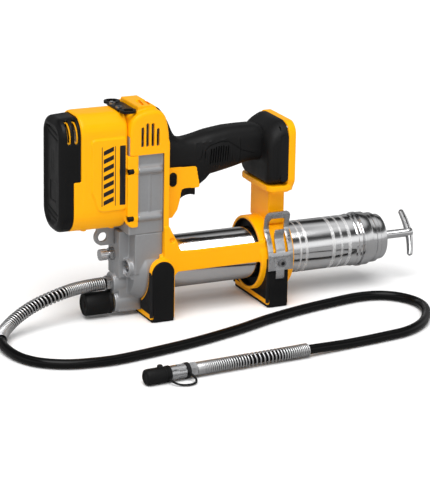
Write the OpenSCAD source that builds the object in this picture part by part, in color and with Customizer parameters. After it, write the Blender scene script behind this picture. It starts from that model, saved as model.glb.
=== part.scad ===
// Cordless electric grease gun, tool only, with delivery hose.
// +Z is up, +X runs towards the T-handle (the back), -Y is the left side.
// The origin lies on the floor under the barrel, near the middle of the front foot.

/* [View] */
// Node to build, or all of them
node = "all";
// Segments on a full circle
circle_segments = 48; // [24:4:96]

/* [Barrel] */
// Outside diameter of the grease barrel
barrel_od = 57.5; // [56:0.5:60]
// Wall thickness of the barrel
barrel_wall = 1.25; // [1:0.05:1.3]
// Height of the barrel axis above the floor
axis_z = 53; // [53:0.5:55]
// End of the barrel tube
barrel_end = 256; // [254:1:258]
// Diameter of the follower rod
rod_d = 9.6; // [8:0.2:10]
// Diameter of the T-handle bar
handle_d = 8; // [7:0.5:9]
// Turns of the follower spring
follower_turns = 9; // [6:1:12]

/* [Drive] */
// Teeth of the motor pinion
pinion_teeth = 12; // [12:1:12]
// Teeth of the gear driven by the motor pinion
first_teeth = 48; // [48:1:48]
// Teeth of the pinion on the intermediate gear
second_pinion_teeth = 14; // [14:1:14]
// Teeth of the crank gear
crank_teeth = 42; // [42:1:42]
// Half of the plunger stroke
throw = 6; // [4:0.5:6]
// Diameter of the plunger
plunger_d = 9.5; // [8:0.5:10]

/* [Frame] */
// Half width of both feet
foot_half = 43; // [43:0.5:46]
// Half width of the grip
grip_half = 18; // [18:0.5:20]
// Wall thickness of the plastic shells
shell = 2.5; // [2:0.25:2.75]
// Half width of the battery block
block_half = 38; // [38:0.5:40]

/* [Hose] */
// Diameter of the hose
hose_d = 10; // [9:0.5:11]
// Wire diameter of the hose guards
guard_wire = 1.8; // [1.6:0.1:2]

/* [Clearances] */
// Radial running clearance of shafts
run = 0.06; // [0.04:0.01:0.1]
// Gap between neighbouring shells
gap = 0.1; // [0.05:0.05:0.2]

/* [Hidden] */
$fn = circle_segments;
barrel_r = barrel_od / 2;
bore_r = barrel_r - barrel_wall;
rod_bore = rod_d / 2 + run;
hose_r = hose_d / 2;
plunger_bore = plunger_d / 2 + run;
// Heights of the shafts, and x of the plunger
motor_z = 198;
mid_z = 168;
crank_z = 133;
pump_x = -26.5;
motor_shaft_r = 3;
gear_shaft_r = 4;
bearing_r = 8;
bearing_width = 5;
first_module = 1;
second_module = 1.25;
// Joints between cap, motor housing, gear case and cover
cap_x = -89;
case_x = -36;
cover_x = 4;
housing_half = 29;
case_half = 32;
case_floor = 98;
// Ports of the pump head
outlet_z = 37;
filler_z = 15.5;
bleeder_z = 69.5;
relief_y = -20;
relief_z = 58;
seal_r = 6.2;
// Feet, side bars and hose clip
front_foot_x = 0.5;
rear_foot_x = 137.8;
foot_side = 41.4;
pad_inner = 41.5;
bar_inner = 34.4;
bar_outer = 38;
cheek_half = 19.6;
trigger_half = 7.8;
clip_x = 141;
clip_z = 50.5;
clip_y = -43.95;

YELLOW = [1, 0.72, 0.02];
BLACK = [0.11, 0.11, 0.11];
CAST = [0.62, 0.63, 0.65];
STEEL = [0.72, 0.73, 0.75];
DARK = [0.3, 0.3, 0.32];
BLACKENED = [0.2, 0.2, 0.21];

NODES = ["motor_housing", "motor_end_cap", "motor_can", "rotor_shaft", "motor_fan",
  "motor_bearings", "gear_case", "gear_case_cover", "intermediate_gear", "crank_gear",
  "gear_bearings", "pump_head", "pump_plunger", "plunger_seal", "check_ball", "check_spring",
  "relief_plug", "bleeder_body", "bleeder_stem", "filler_nipple", "filler_cap",
  "hose_fitting", "hose", "spring_guard_inner", "spring_guard_outer", "coupler_fitting",
  "coupler_body", "coupler_jaws", "dust_cap", "dust_cap_tether",
  "frame_shell_left", "frame_shell_right", "grip_shell_left", "grip_shell_right",
  "battery_terminal_block", "terminal_blades", "controller_board", "switch_body", "trigger",
  "trigger_spring", "lock_button", "front_foot_pad", "rear_foot_pad", "barrel_ring_seal",
  "hose_clip", "clip_screw", "strap_bracket", "strap_screws", "housing_screws",
  "clamshell_screws", "barrel_tube", "barrel_end_cap", "barrel_gasket", "rod_bush",
  "follower_plate", "follower_seal", "follower_spring", "follower_rod", "t_handle"];

// ---- Shapes
// Cylinder or cone along X; note that z comes before y.
module cyl_x(x0, x1, r, z = 0, y = 0) {
  translate([x0, y, z]) rotate([0, 90, 0]) cylinder(h = x1 - x0, r = r);
}
module cone_x(x0, x1, r0, r1, z) {
  translate([x0, 0, z]) rotate([0, 90, 0]) cylinder(h = x1 - x0, r1 = r0, r2 = r1);
}
module cyl_y(y0, y1, r, x = 0, z = 0) {
  translate([x, y1, z]) rotate([90, 0, 0]) cylinder(h = y1 - y0, r = r);
}
module cyl_z(z0, z1, r, x = 0, y = 0) {
  translate([x, y, z0]) cylinder(h = z1 - z0, r = r);
}
// Ring along X.
module ring_x(x0, x1, outer, inner, z) difference() {
  cyl_x(x0, x1, outer, z);
  cyl_x(x0 - 1, x1 + 1, inner, z);
}
module bearing(x0, shaft_r, z) ring_x(x0, x0 + bearing_width, bearing_r, shaft_r + run, z);
// Hexagonal prism along X, given its width across flats.
module hex_x(x0, x1, flats, z = 0, y = 0) {
  translate([x0, y, z]) rotate([0, 90, 0])
    cylinder(h = x1 - x0, r = flats / 2 / cos(30), $fn = 6);
}
// Box from one corner to the other.
module box(x0, x1, y0, y1, z0, z1) {
  translate([x0, y0, z0]) cube([x1 - x0, y1 - y0, z1 - z0]);
}
// The same box on both sides of the middle plane.
module box_pair(x0, x1, y0, y1, z0, z1) {
  for (s = [-1, 1]) box(x0, x1, s > 0 ? y0 : -y1, s > 0 ? y1 : -y0, z0, z1);
}
// Profile given as (y, z), extruded along X.
module along_x(x0, x1) {
  translate([x0, 0, 0]) rotate([90, 0, 90]) linear_extrude(x1 - x0) children();
}
// Profile given as (x, z), extruded along Y.
module along_y(y0, y1) {
  translate([0, y1, 0]) rotate([90, 0, 0]) linear_extrude(y1 - y0) children();
}
// The same extrusion on both sides of the middle plane.
module along_y_pair(y0, y1) {
  for (s = [-1, 1]) along_y(s > 0 ? y0 : -y1, s > 0 ? y1 : -y0) children();
}
// Rounded rectangle from one corner to the other.
module rounded(a0, a1, b0, b1, r) {
  translate([a0 + r, b0]) square([a1 - a0 - 2 * r, b1 - b0]);
  translate([a0, b0 + r]) square([a1 - a0, b1 - b0 - 2 * r]);
  for (a = [a0 + r, a1 - r]) for (b = [b0 + r, b1 - r]) translate([a, b]) circle(r);
}
// Keeps one side of the middle plane: s = -1 left, s = 1 right.
module one_side(s) intersection() {
  children();
  box(-200, 400, s < 0 ? -100 : gap / 4, s < 0 ? -gap / 4 : 100, -10, 300);
}

// ---- Gears
pressure_angle = 25;
backlash = 0.12;
// Involute of an angle in degrees.
function involute(a) = tan(a) * 180 / PI - a;
// Half angle of a tooth at radius r.
function half_tooth(teeth, pitch_r, base_r, r) = 90 / teeth - backlash / pitch_r * 90 / PI
  + involute(acos(base_r / pitch_r)) - involute(acos(min(1, base_r / r)));
// Involute spur gear outline, a tooth centred on angle 0.
module gear_profile(teeth, mod) {
  pitch_r = teeth * mod / 2;
  base_r = pitch_r * cos(pressure_angle);
  root_r = pitch_r - 1.2 * mod;
  tip_r = pitch_r + 0.9 * mod;
  flank_r = max(base_r, root_r);
  radii = concat([root_r - 0.3], [for (k = [0:4]) flank_r + (tip_r - flank_r) * k / 4]);
  angles = [for (r = radii) half_tooth(teeth, pitch_r, base_r, max(r, base_r))];
  circle(root_r);
  for (i = [0:teeth - 1]) rotate(i * 360 / teeth) polygon(concat(
    [for (k = [0:5]) radii[k] * [cos(-angles[k]), sin(-angles[k])]],
    [for (k = [5:-1:0]) radii[k] * [cos(angles[k]), sin(angles[k])]]));
}
module gear_x(x0, x1, teeth, mod, z, phase) {
  translate([x0, 0, z]) rotate([90, 0, 90]) linear_extrude(x1 - x0)
    rotate(phase) gear_profile(teeth, mod);
}

// ---- Swept bars and springs
function unit(v) = v / norm(v);
// Direction of an open path at point i.
function heading(path, i) = unit(path[min(i + 1, len(path) - 1)] - path[max(i - 1, 0)]);
// Round bar along path; refs are directions never parallel to it, +Z if left out.
module sweep(path, r, sides, refs = undef) {
  last = len(path) - 1;
  points = [for (i = [0:last])
    let (t = heading(path, i), ref = is_undef(refs) ? [0, 0, 1] : refs[i],
      a = unit(cross(t, ref)), b = cross(t, a))
    for (k = [0:sides - 1])
      path[i] + r * (a * cos(k * 360 / sides) + b * sin(k * 360 / sides))];
  // Each side quad is split into two triangles.
  polyhedron(points, concat(
    [[for (k = [0:sides - 1]) k]],
    [[for (k = [sides - 1:-1:0]) last * sides + k]],
    [for (i = [0:last - 1]) for (k = [0:sides - 1])
      [i * sides + k, (i + 1) * sides + (k + 1) % sides, i * sides + (k + 1) % sides]],
    [for (i = [0:last - 1]) for (k = [0:sides - 1])
      [i * sides + k, (i + 1) * sides + k, (i + 1) * sides + (k + 1) % sides]]),
    convexity = 10);
}
// Helical spring around Z from z0 to z1.
module spring_z(z0, z1, coil_r, wire_r, turns, steps = 16) {
  count = turns * steps;
  sweep([for (i = [0:count]) [coil_r * cos(i * 360 / steps), coil_r * sin(i * 360 / steps),
    z0 + wire_r + (z1 - z0 - 2 * wire_r) * i / count]], wire_r, 6);
}
module spring_x(x0, x1, coil_r, wire_r, turns, z, steps = 16) {
  translate([x0, 0, z]) rotate([0, 90, 0]) spring_z(0, x1 - x0, coil_r, wire_r, turns, steps);
}
// Smooth curve through the points p at parameter u.
function curve(p, u) =
  let (i = min(floor(u), len(p) - 2), t = u - i,
    a = p[max(i - 1, 0)], b = p[i], c = p[i + 1], d = p[min(i + 2, len(p) - 1)])
  0.5 * (2 * b + (c - a) * t + (2 * a - 5 * b + 4 * c - d) * t * t
    + (3 * b - a - 3 * c + d) * t * t * t);
// Tangent of that curve.
function tangent(p, u) = unit(curve(p, min(u + 0.02, len(p) - 1)) - curve(p, max(u - 0.02, 0)));
// Round bar along the curve, three steps per span.
module curved_bar(p, r, sides) {
  sweep([for (i = [0:(len(p) - 1) * 3]) curve(p, i / 3)], r, sides);
}

// ---- Motor end
// Places its children at the four screws that join housing and gear case.
module at_case_screws(y = 32) {
  for (s = [-1, 1]) for (z = [116.5, 168.6]) translate([0, s * y, z]) children();
}
case_boss_y = 31.5;
module at_strap_screws() for (y = [-9, 9]) translate([-38.6, y, 0]) children();
// Section of the motor housing, inset by d: tighter corners at the top than below.
module housing_profile(d) {
  half = housing_half - d;
  rounded(-half, half, 140, 231 - d, 20 - d);
  rounded(-half, half, 102 + d, 170, 25 - d);
  translate([-half, 130]) square([2 * half, 75]);
}
module motor_housing() color(YELLOW) {
  difference() {
    union() {
      along_x(cap_x + gap, case_x) housing_profile(0);
      intersection() {
        along_x(-97 + gap, -80) housing_profile(0.4);
        box(-100, -80, -40, 40, 90, 161.5);
      }
      // Raised panel on the left
      along_y(-31.2, -28) rounded(-78, -38, 128, 206, 5);
      // Side lugs around the screws
      along_y_pair(26, 35) polygon([[-38.4, 112], [-38.4, 185.8], [-26, 185.8], [-26, 107],
        [-33.5, 107], [-36.6, 108.6]]);
      at_case_screws(case_boss_y) cyl_x(case_x, -26, 4.4);
    }
    along_x(case_x, -25) case_outline(-0.15);
    along_x(-98, -38.5) housing_profile(shell);
    cyl_x(-39, -35, 12.1, motor_z);
    box(-39, -35, -9, 9, 112, 128);
    at_case_screws() {
      cyl_x(-46, -30.9, 3.8);
      cyl_x(-46, -25, 2.1);
    }
    at_strap_screws() cyl_z(224, 240, 1.95);
    for (x = [-82, -74]) translate([x, 0, 0]) along_y(-22, -12) rounded(0, 4, 226, 236, 1.9);
  }
  // Posts under the controller board
  for (x = [-80, -48]) for (y = [-12, 12]) cyl_z(103, 112 - gap, 3, x, y);
}
module motor_end_cap() color(BLACK) difference() {
  along_x(-112, cap_x) housing_profile(0.4);
  along_x(-113, -109.5) housing_profile(5.5);
  along_x(-107, cap_x + 1) housing_profile(shell + 0.4);
  // Slanted grooves
  for (z = [118, 125, 207, 214])
    along_x(-110, -108.2) translate([0, z]) rotate(12) square([34, 2.4], center = true);
  box(-110, -106, -3, 3, 172, 192);
  box(-97, -80, -40, 40, 90, 161.6);
}
can_start = -98;
can_end = -44;
can_plate = -46.5;
can_r = 24;
can_seat_r = 8.1;
module motor_can() color(STEEL) difference() {
  union() {
    ring_x(can_start, can_end, can_r, 21.5, motor_z);
    ring_x(can_plate, -36.4, 12, can_seat_r, motor_z);
    ring_x(can_plate, can_end, can_r, can_seat_r, motor_z);
    ring_x(can_start, -95.5, can_r, can_seat_r, motor_z);
    ring_x(can_start, -90, 11, can_seat_r, motor_z);
  }
  box_pair(-90, -82, 20, 26, motor_z - 8, motor_z + 8);
}
module rotor_shaft() color([0.72, 0.45, 0.25]) {
  cyl_x(-100, -2, motor_shaft_r, motor_z);
  cyl_x(-84, -58, 18.5, motor_z);
  gear_x(-12, -3, pinion_teeth, first_module, motor_z, 15);
}
fan_blades = 9;
module motor_fan() color(BLACK) difference() {
  union() {
    cyl_x(-56, -54, 19, motor_z);
    cyl_x(-54, -49, 6, motor_z);
    for (i = [0:fan_blades - 1])
      translate([-54, 0, motor_z]) rotate([i * 360 / fan_blades, 0, 0])
        translate([0, 5, -0.75]) cube([4.5, 13, 1.5]);
  }
  cyl_x(-60, -40, motor_shaft_r, motor_z);
}
module motor_bearings() color(STEEL) {
  bearing(-95.5, motor_shaft_r, motor_z);
  bearing(can_plate + 3, motor_shaft_r, motor_z);
}

// ---- Gear case
// Section of the gear case, inset by d.
module case_outline(d) {
  half = case_half - d;
  rounded(-half, half, case_floor + d, 229 - d, 15 - d);
  translate([-half, case_floor + d]) square([2 * half, 60]);
}
// Side view of the gear end, as (x, z): rounded at the front, swept down at the back.
hood_points = [[-36, 90], [-36, 211], [-35.3, 218], [-33.2, 224], [-29.6, 228.2],
  [-24.4, 230.9], [-17, 232.8], [-10, 233.6], [-4, 233.2], [0, 231.6], [3.2, 228.8],
  [6, 224], [8, 216], [9.5, 206], [10, 196], [10, 90]];
module hood(d) offset(delta = -d) polygon(hood_points);
// Slots of both sides: [x, top].
slots = [[-21.6, 216], [-15.9, 220], [-9.9, 219.6], [-3.9, 213.6]];
module side_slots(y0, y1) {
  for (v = slots) translate([v[0], 0, 0])
    along_y_pair(y0, y1) rounded(-1.3, 1.3, 194.6, v[1], 1.2);
}
lug_x = -53.4;
lug_z = 90;
module gear_case() color(CAST) {
  ring_x(-31.8, -26.5, 10.5, 8.02, mid_z);
  difference() {
    union() {
      intersection() {
        along_x(case_x + gap, cover_x) case_outline(0);
        along_y(-50, 50) hood(2.6);
      }
      along_x(case_x + gap, -33) translate([-case_half, case_floor]) square([64, 108]);
      along_x(case_x + gap, cover_x) translate([-case_half, case_floor]) square([64, 20]);
      at_case_screws(case_boss_y) cyl_x(-26 + gap, 3.2, 4);
      // Eye plate at the front, under the housing
      along_y(-2.5, 2.5) {
        translate([lug_x, lug_z]) circle(9.6);
        translate([-60, 98.2]) square([30, 3.6]);
        translate([-60, lug_z]) square([14, 10]);
        translate([lug_x, 80.4]) square([13, 18]);
      }
    }
    along_x(-31.5, 5) rounded(-28.5, 28.5, 101.5, 211, 11.5);
    cyl_x(-40, -30, 8, motor_z);
    at_case_screws() {
      cyl_x(-40, 3, 1.95);
      cyl_x(-40, -30.95, 3.4);
    }
    cyl_y(-4, 4, 5.2, lug_x, lug_z);
    cyl_z(90, 110, seal_r, pump_x);
    side_slots(26, 33);
  }
}
module gear_case_cover() color(CAST) difference() {
  union() {
    intersection() {
      along_x(cover_x + gap, 7.4) case_outline(0);
      along_y(-50, 50) hood(2.5);
    }
    for (z = [mid_z, crank_z]) cyl_x(-1.5, 5, 11, z);
  }
  for (z = [mid_z, crank_z]) cyl_x(-2, 5.9, bearing_r, z);
}
module intermediate_gear() color(STEEL) {
  cyl_x(-31, 5.5, gear_shaft_r, mid_z);
  gear_x(-12, -4, first_teeth, first_module, mid_z, 0);
  cyl_x(-14, -12, 10, mid_z);
  gear_x(-22.5, -13.5, second_pinion_teeth, second_module, mid_z,
    180 / second_pinion_teeth + 90);
}
module crank_gear() color(STEEL) {
  gear_x(-21.5, -14, crank_teeth, second_module, crank_z, 90);
  cyl_x(-14.5, 5.5, gear_shaft_r, crank_z);
  // Eccentric pin
  cyl_x(-30, -21, 3.2, crank_z + throw);
}
module gear_bearings() color(STEEL) {
  bearing(-31.5, gear_shaft_r, mid_z);
  for (z = [mid_z, crank_z]) bearing(0.9, gear_shaft_r, z);
}

// ---- Pump
filler_boss_z = 15.8;
module pump_head_body() {
  box(-40, -2, -15, 15, 46, case_floor - gap);
  box(-38, -2, -11, 11, 6, 60);
  along_x(-28, 3.6) translate([-31.9, 66]) square([63.8, 32 - gap]);
  along_x(-28, -2) translate([-31.9, 53]) square([63.8, 44]);
  cyl_x(-16, -2, 35.6, axis_z);
  cone_x(-28, -15.9, 29, 35.6, axis_z);
  along_y(-27, -8)
    polygon([[-30.5, 46], [-32, 50], [-32, 62], [-28, 71], [-20, 73], [-20, 46]]);
  // Bosses of the ports
  cyl_x(-44, -16, 12.1, outlet_z);
  cyl_x(-42, -14, 12.4, filler_boss_z);
  cyl_x(-40.6, -30, 9, bleeder_z);
  cyl_x(-34, -20, 10.2, relief_z, relief_y);
  // Collar around the barrel
  cyl_x(-3, 10, barrel_r + 3.6, axis_z);
}
module pump_head() color(CAST) difference() {
  pump_head_body();
  cyl_x(-1, 12, barrel_r + 0.15, axis_z);
  cyl_x(pump_x, 0, 3, axis_z);
  // Plunger bore and seal seat
  cyl_z(37, 45, 2.2, pump_x);
  cyl_z(45, 92, plunger_bore, pump_x);
  cyl_z(90, 99, seal_r, pump_x);
  // Outlet
  cyl_x(-40, pump_x, 2, outlet_z);
  cyl_x(-40, -30.5, 3.1, outlet_z);
  cyl_x(-46, -38.9, 6, outlet_z);
  // Filler passage
  cyl_x(-45, -33, 5.05, filler_z);
  cyl_x(-45, 0, 2.5, filler_z);
  cyl_z(14, 30, 2.5, -8);
  cyl_x(-8, 0, 2.5, 28);
  // Bleeder
  cyl_x(-45, -33.5, 5.05, bleeder_z);
  cyl_x(-45, -32.2, 2, bleeder_z);
  cyl_z(outlet_z, bleeder_z, 1.2, -35);
  // Relief plug
  cyl_x(-36, -26.95, 8.25, relief_z, relief_y);
  cyl_x(-33, -20.4, 4.55, relief_z, relief_y);
}
// Crosshead and plunger: the window leaves the eccentric pin free in every position.
module pump_plunger() color(STEEL) {
  cyl_z(56, 112, plunger_d / 2, pump_x);
  difference() {
    box(-30.5, -23, -15, 15, 112, 151);
    box(-31, -22.5, -11.5, 11.5, 117, 148.6);
  }
}
module plunger_seal() color(BLACK) difference() {
  cyl_z(92.2, 96.5, seal_r, pump_x);
  cyl_z(90, 98, plunger_bore, pump_x);
}
module check_ball() color(STEEL) translate([-32.7, 0, outlet_z]) sphere(2.9);
module check_spring() color(STEEL) spring_x(-38.85, -36.3, 2.3, 0.35, 3, outlet_z);
module relief_plug() color([0.25, 0.25, 0.26]) difference() {
  union() {
    cyl_x(-32.6, -27, 8.2, relief_z, relief_y);
    cyl_x(-28, -20.5, 4.5, relief_z, relief_y);
  }
  hex_x(-34, -29.2, 8, relief_z, relief_y);
}
stem_r = 2.3;
module bleeder_body() color(STEEL) difference() {
  union() {
    hex_x(-46.2, -40.62, 13, bleeder_z);
    cyl_x(-40.7, -33.6, 5, bleeder_z);
    cyl_x(-48.1, -45.6, 4.6, bleeder_z);
  }
  cyl_x(-51, -33, stem_r, bleeder_z);
}
module bleeder_stem() color(STEEL) {
  cyl_x(-50.4, -34.6, stem_r - run, bleeder_z);
  // Fluted knob
  difference() {
    cyl_x(-56.6, -48.8, 6.2, bleeder_z);
    for (i = [0:11]) translate([0, 6.8 * cos(i * 30), bleeder_z + 6.8 * sin(i * 30)])
      cyl_x(-58, -48, 1);
  }
}
module filler_nipple() color([0.78, 0.66, 0.38]) difference() {
  union() {
    cyl_x(-52, -34, 5, filler_z);
    hex_x(-46, -42, 15, filler_z);
    cyl_x(-62, -50, 4.2, filler_z);
    cyl_x(-64, -60, 6, filler_z);
  }
  cyl_x(-65, -33, 2.2, filler_z);
}
module filler_cap() color(BLACK) difference() {
  union() {
    cyl_x(-73.4, -44.2, 12.7, filler_z);
    cone_x(-75, -73.4, 11.4, 12.7, filler_z);
  }
  cyl_x(-76, -74, 8.6, filler_z);
  cyl_x(-70, -42, 9, filler_z);
}

// ---- Hose line
// Height of the centre line where the hose lies on the floor
hose_z = hose_r + 0.4;
// Points of the hose centre line, from the pump head to the coupler.
hose_points = [[-47, 0, 37], [-74, -3, 37], [-100, -8, 35], [-134, -17, 29], [-159, -26, 21],
  [-176, -35, 13], [-187, -49, 8.8], [-192, -70, 6.6], [-188, -102, hose_z],
  [-175, -126, hose_z], [-151, -142, hose_z], [-121, -148, hose_z], [-93, -148, hose_z],
  [-45, -139, hose_z], [4, -127, hose_z], [58, -109, hose_z], [104, -90, hose_z],
  [150, -75, hose_z], [193, -65, hose_z], [228, -59, hose_z], [255, -63, hose_z],
  [274, -79, hose_z], [282, -104, hose_z], [275, -131, hose_z], [254, -161, hose_z],
  [226, -180, hose_z], [196, -187, hose_z], [146, -194, hose_z], [97, -201, 7.6],
  [60, -204.5, 7.8], [0, -209, 8], [-38, -212, 8]];
guard_r = hose_r + guard_wire / 2 + 0.4;
guard_steps = 10;
// Hose parameters of the wire points of one stretch: [from, to, turns].
function guard_params(g) = let (count = g[2] * guard_steps)
  [for (i = [0:count]) g[0] + (g[1] - g[0]) * i / count];
// Wire points of that stretch around the hose.
function guard_points(g) = let (params = guard_params(g))
  [for (i = [0:len(params) - 1])
    let (u = params[i], t = tangent(hose_points, u), a = unit(cross(t, [0, 0, 1])),
      b = cross(t, a), turn = i * 360 / guard_steps)
    curve(hose_points, u) + guard_r * (a * cos(turn) + b * sin(turn))];
module spring_guard(stretches) {
  sweep([for (g = stretches) each guard_points(g)], guard_wire / 2, 4,
    [for (g = stretches) for (u = guard_params(g)) tangent(hose_points, u)]);
}
module hose() color(BLACK) curved_bar(hose_points, hose_r, 12);
module hose_fitting() color(STEEL) difference() {
  union() {
    cyl_x(-44.2, -39, 5.95, outlet_z);
    hex_x(-50, -44.1, 15, outlet_z);
  }
  cyl_x(-51, -46.4, hose_r + 0.5, outlet_z);
  cyl_x(-51, -35, 2.4, outlet_z);
}
module spring_guard_inner() color(STEEL) spring_guard([[0.26, 2, 21], [2.01, 6.3, 32]]);
module spring_guard_outer() color(STEEL)
  spring_guard([[28.05, 28.35, 5], [28.36, 29.6, 17], [29.62, 30.97, 26]]);
// Places its children on the coupler axis, local X from the end of the hose.
module on_coupler() {
  translate([-38, -212, 8.4]) rotate([0, 0, atan2(-6.1, -68)]) children();
}
module coupler_fitting() color(STEEL) on_coupler() difference() {
  union() {
    cyl_x(0.2, 13, 5);
    hex_x(0.2, 8, 13.5);
  }
  cyl_x(-1, 14, 1.6);
}
module coupler_body() color(STEEL) on_coupler() difference() {
  union() {
    cyl_x(13.1, 30, 7.6);
    hex_x(14, 22, 14.4);
    cyl_x(29, 50, 6);
  }
  cyl_x(13, 51, 4.5);
}
module coupler_jaws() color([0.4, 0.4, 0.41]) on_coupler()
  for (i = [0:3]) rotate([i * 90 + 45, 0, 0]) difference() {
    cyl_x(44, 52, 4.4);
    cyl_x(43, 53, 2.6);
    for (a = [0, 90]) rotate([a, 0, 0]) box(43, 53, -6, 6, -6, 0.25);
  }
module dust_cap() color(BLACK) on_coupler() difference() {
  union() {
    cyl_x(30.2, 58, 8.4);
    translate([41, 0, 7.6]) cyl_z(0, 3.5, 3);
  }
  cyl_x(30, 53.5, 6 + run);
}
// Centre line of the tether, in coupler coordinates.
tether_points = [[10.5, 7.8, -0.5], [9, 12, -2], [8, 16.5, -4.6], [11, 20.5, -6.6],
  [19, 22, -6.9], [27.5, 18.5, -6.6], [32.5, 13, -4.5], [34, 9.8, -2.5]];
module dust_cap_tether() color(BLACK) on_coupler() {
  difference() {
    cyl_x(8.4, 12.6, 8.2);
    cyl_x(8, 13, 5 + run);
  }
  curved_bar(tether_points, 1.2, 8);
}

// ---- Frame
// Foot outline seen from the side, arched at the top.
module arch(x, half, z0, top) {
  translate([x - half, z0]) square([2 * half, top - half - z0]);
  translate([x, top - half]) circle(half);
}
// Screws joining the shells: [x, z, y of the head face, mirrored to the right side].
shell_screws = [[16, 122, -17], [98, 178, -17], [30, 176, -17], [143, 112, -22]];
module screw_holes() mirror([0, 1, 0]) for (c = shell_screws) {
  cyl_y(c[2] - 20, c[2] + 3.05, 3.6, c[0], c[1]);
  cyl_y(c[2], c[2] + 27.3, 2, c[0], c[1]);
}
// Post around shell screw i.
module screw_post(i, half) cyl_y(-half, half, 4.6, shell_screws[i][0], shell_screws[i][1]);
module clip_hole(y1, r) cyl_y(-60, y1, r, clip_x, clip_z);
module lock_slot(d) rounded(16.4 - d, 24.8 + d, 143.3 - d, 158.3 + d, 4.1 + d);
neck_points = [[9, 108], [20, 108], [26, 116], [28.5, 124], [31, 139], [34, 150], [9, 150]];
neck_hollow = [[12, 111], [19, 111], [23.5, 117.5], [26, 124], [28, 139], [30, 152], [12, 152]];
// Side of the trigger housing.
cheek_points = [[9, 164.9], [46.5, 163.4], [48.4, 162], [52.4, 141], [51, 139.2],
  [34, 139.6], [28, 137.3], [24, 128], [20, 109], [9, 109]];
// Web that flares from the cross wall down to the side bar, its lower end shifted by h.
module web(h) polygon([[-0.3, 50], [-0.3, 104], [9.8, 104], [12, 99], [19, 86], [23, 76 + h],
  [40, 75 + h], [40, 52.7 + h], [20, 52.7 + h], [12, 44 + h], [8, 44 + h]]);
module hood_and_neck() {
  intersection() {
    box(case_x + gap, 11, -36, 36, 186, 240);
    hull() {
      along_y(-31.4, 31.4) hood(0);
      along_y(-34, 34) hood(0.9);
      along_y(-35, 35) hood(3.4);
    }
  }
  along_y(-24, 24) polygon([[-23.8, 226], [-22.6, 236.4], [-4, 236.4], [4.4, 226]]);
  along_x(3.7, 10) rounded(-35, 35, 50, 200, 4);
  along_y(-cheek_half, cheek_half) polygon(neck_points);
  along_y_pair(18.15, cheek_half) polygon(cheek_points);
}
module feet_and_bars() {
  cyl_x(-13.9, 12, 38.3, axis_z);
  along_y(-foot_side, foot_side) arch(front_foot_x, 14.2, 3, 69);
  box(8, 124, -bar_outer, -bar_inner, 52.7, 75);
  box(8, 124, bar_inner, bar_outer, 35, 57);
  difference() {
    cyl_x(118, 158, 41, axis_z);
    cyl_x(117, 124.4, 37.6, axis_z);
  }
  along_y(-bar_outer, -bar_inner) web(0);
  along_y(bar_inner, bar_outer) web(-17.7);
  along_y(-bar_inner, -30)
    polygon([[9, 62], [9, 101], [12, 97], [17, 86], [19, 76], [12, 70]]);
  along_y(-foot_side, foot_side) arch(rear_foot_x, 12.8, 3, 65.5);
}
// Column and tray under the battery block.
module battery_support() {
  box(133.5, 152.4, -23, 23, 90, 131);
  translate([0, 0, 130]) linear_extrude(6) rounded(126.5, 158, -38, 38, 9);
  translate([0, 0, 127]) linear_extrude(3.1) rounded(130, 156, -33, 33, 7);
  along_x(149 + gap, 158) rounded(-38, 38, 130, 206, 14);
}
module frame_solid() difference() {
  union() {
    hood_and_neck();
    feet_and_bars();
    battery_support();
  }
  // Room for the gear case
  intersection() {
    along_x(-37, 7.6) case_outline(-0.15);
    along_y(-50, 50) {
      hood(2.4);
      translate([-38, 90]) square([6, 116.2]);
    }
  }
  along_x(-37, 3.5) translate([-32.15, 97.8]) square([64.3, 90]);
  side_slots(30, 40);
  // Room for the pump head
  box(-41, 3.7, -32.1, 32.1, 53, 98.2);
  cyl_x(-41, -1.9, 35.8, axis_z);
  box(-41, -1.9, -15.2, 15.2, 5.9, 60);
  cyl_x(-41, -13.9, 12.6, filler_boss_z);
  // Room for the barrel
  cyl_x(-4, 10.2, barrel_r + 3.8, axis_z);
  cyl_x(10, 16, barrel_r + 0.5, axis_z);
  cyl_x(100, 160, 34.2, axis_z);
  // Slots in the top, slanted across
  for (x = [-14, -7]) translate([x, 0, 0])
    multmatrix([[1, 0.19, 0, 0], [0, 1, 0, 0], [0, 0, 1, 0], [0, 0, 0, 1]])
      along_y(-10, 5) rounded(-1.3, 1.3, 234.6, 240, 1.2);
  along_y(-15.4, 15.4) polygon(neck_hollow);
  trigger_opening(100, 152);
  along_y(-50, 50) lock_slot(0.15);
  // Hollow column and seat of the terminal block
  box(136, 149.9, -20.4, 20.4, 97, 129);
  box(140, 152.6, -32.8, 32.8, 139.7, 200.8);
  along_x(148, 160) rounded(-33, 33, 139.5, 201, 10);
  cyl_y(-50, -34, 2, clip_x, clip_z);
}
module trigger_opening(z0, z1) box(27, 53, -trigger_half - 0.4, trigger_half + 0.4, z0, z1);
module frame_posts() difference() {
  union() {
    screw_post(0, 15.6);
    screw_post(3, 20.6);
  }
  box(-10, 9, -50, 50, 0, 300);
}
module frame_shell(s) color(YELLOW) one_side(s) difference() {
  union() {
    frame_solid();
    frame_posts();
  }
  screw_holes();
}
module frame_shell_left() frame_shell(-1);
module frame_shell_right() frame_shell(1);

// ---- Grip
// Side outline of the grip, as (x, z).
grip_points = [[10.1, 150.1], [34.2, 150.1], [32, 139.4], [52.4, 138.2], [60, 145], [67, 149],
  [92.7, 154.1], [110, 158.5], [122, 159.5], [126.5, 156], [128, 156], [128, 199],
  [123, 200.4], [115.8, 200.2], [88.6, 199.9], [67, 197], [45, 192.6], [37.5, 191.2],
  [30, 193.5], [25, 197], [22, 201], [19.6, 205.8], [16.3, 213.8], [12.4, 221],
  [8.6, 226.4], [5, 230.4], [3.4, 230.2], [4.2, 228.8], [6.6, 224.4], [8.4, 216.4],
  [9.9, 206], [10.1, 200]];
module block_section() {
  along_x(130.6, 131) rounded(-block_half, block_half, 136 + gap, 198, 15);
}
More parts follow.
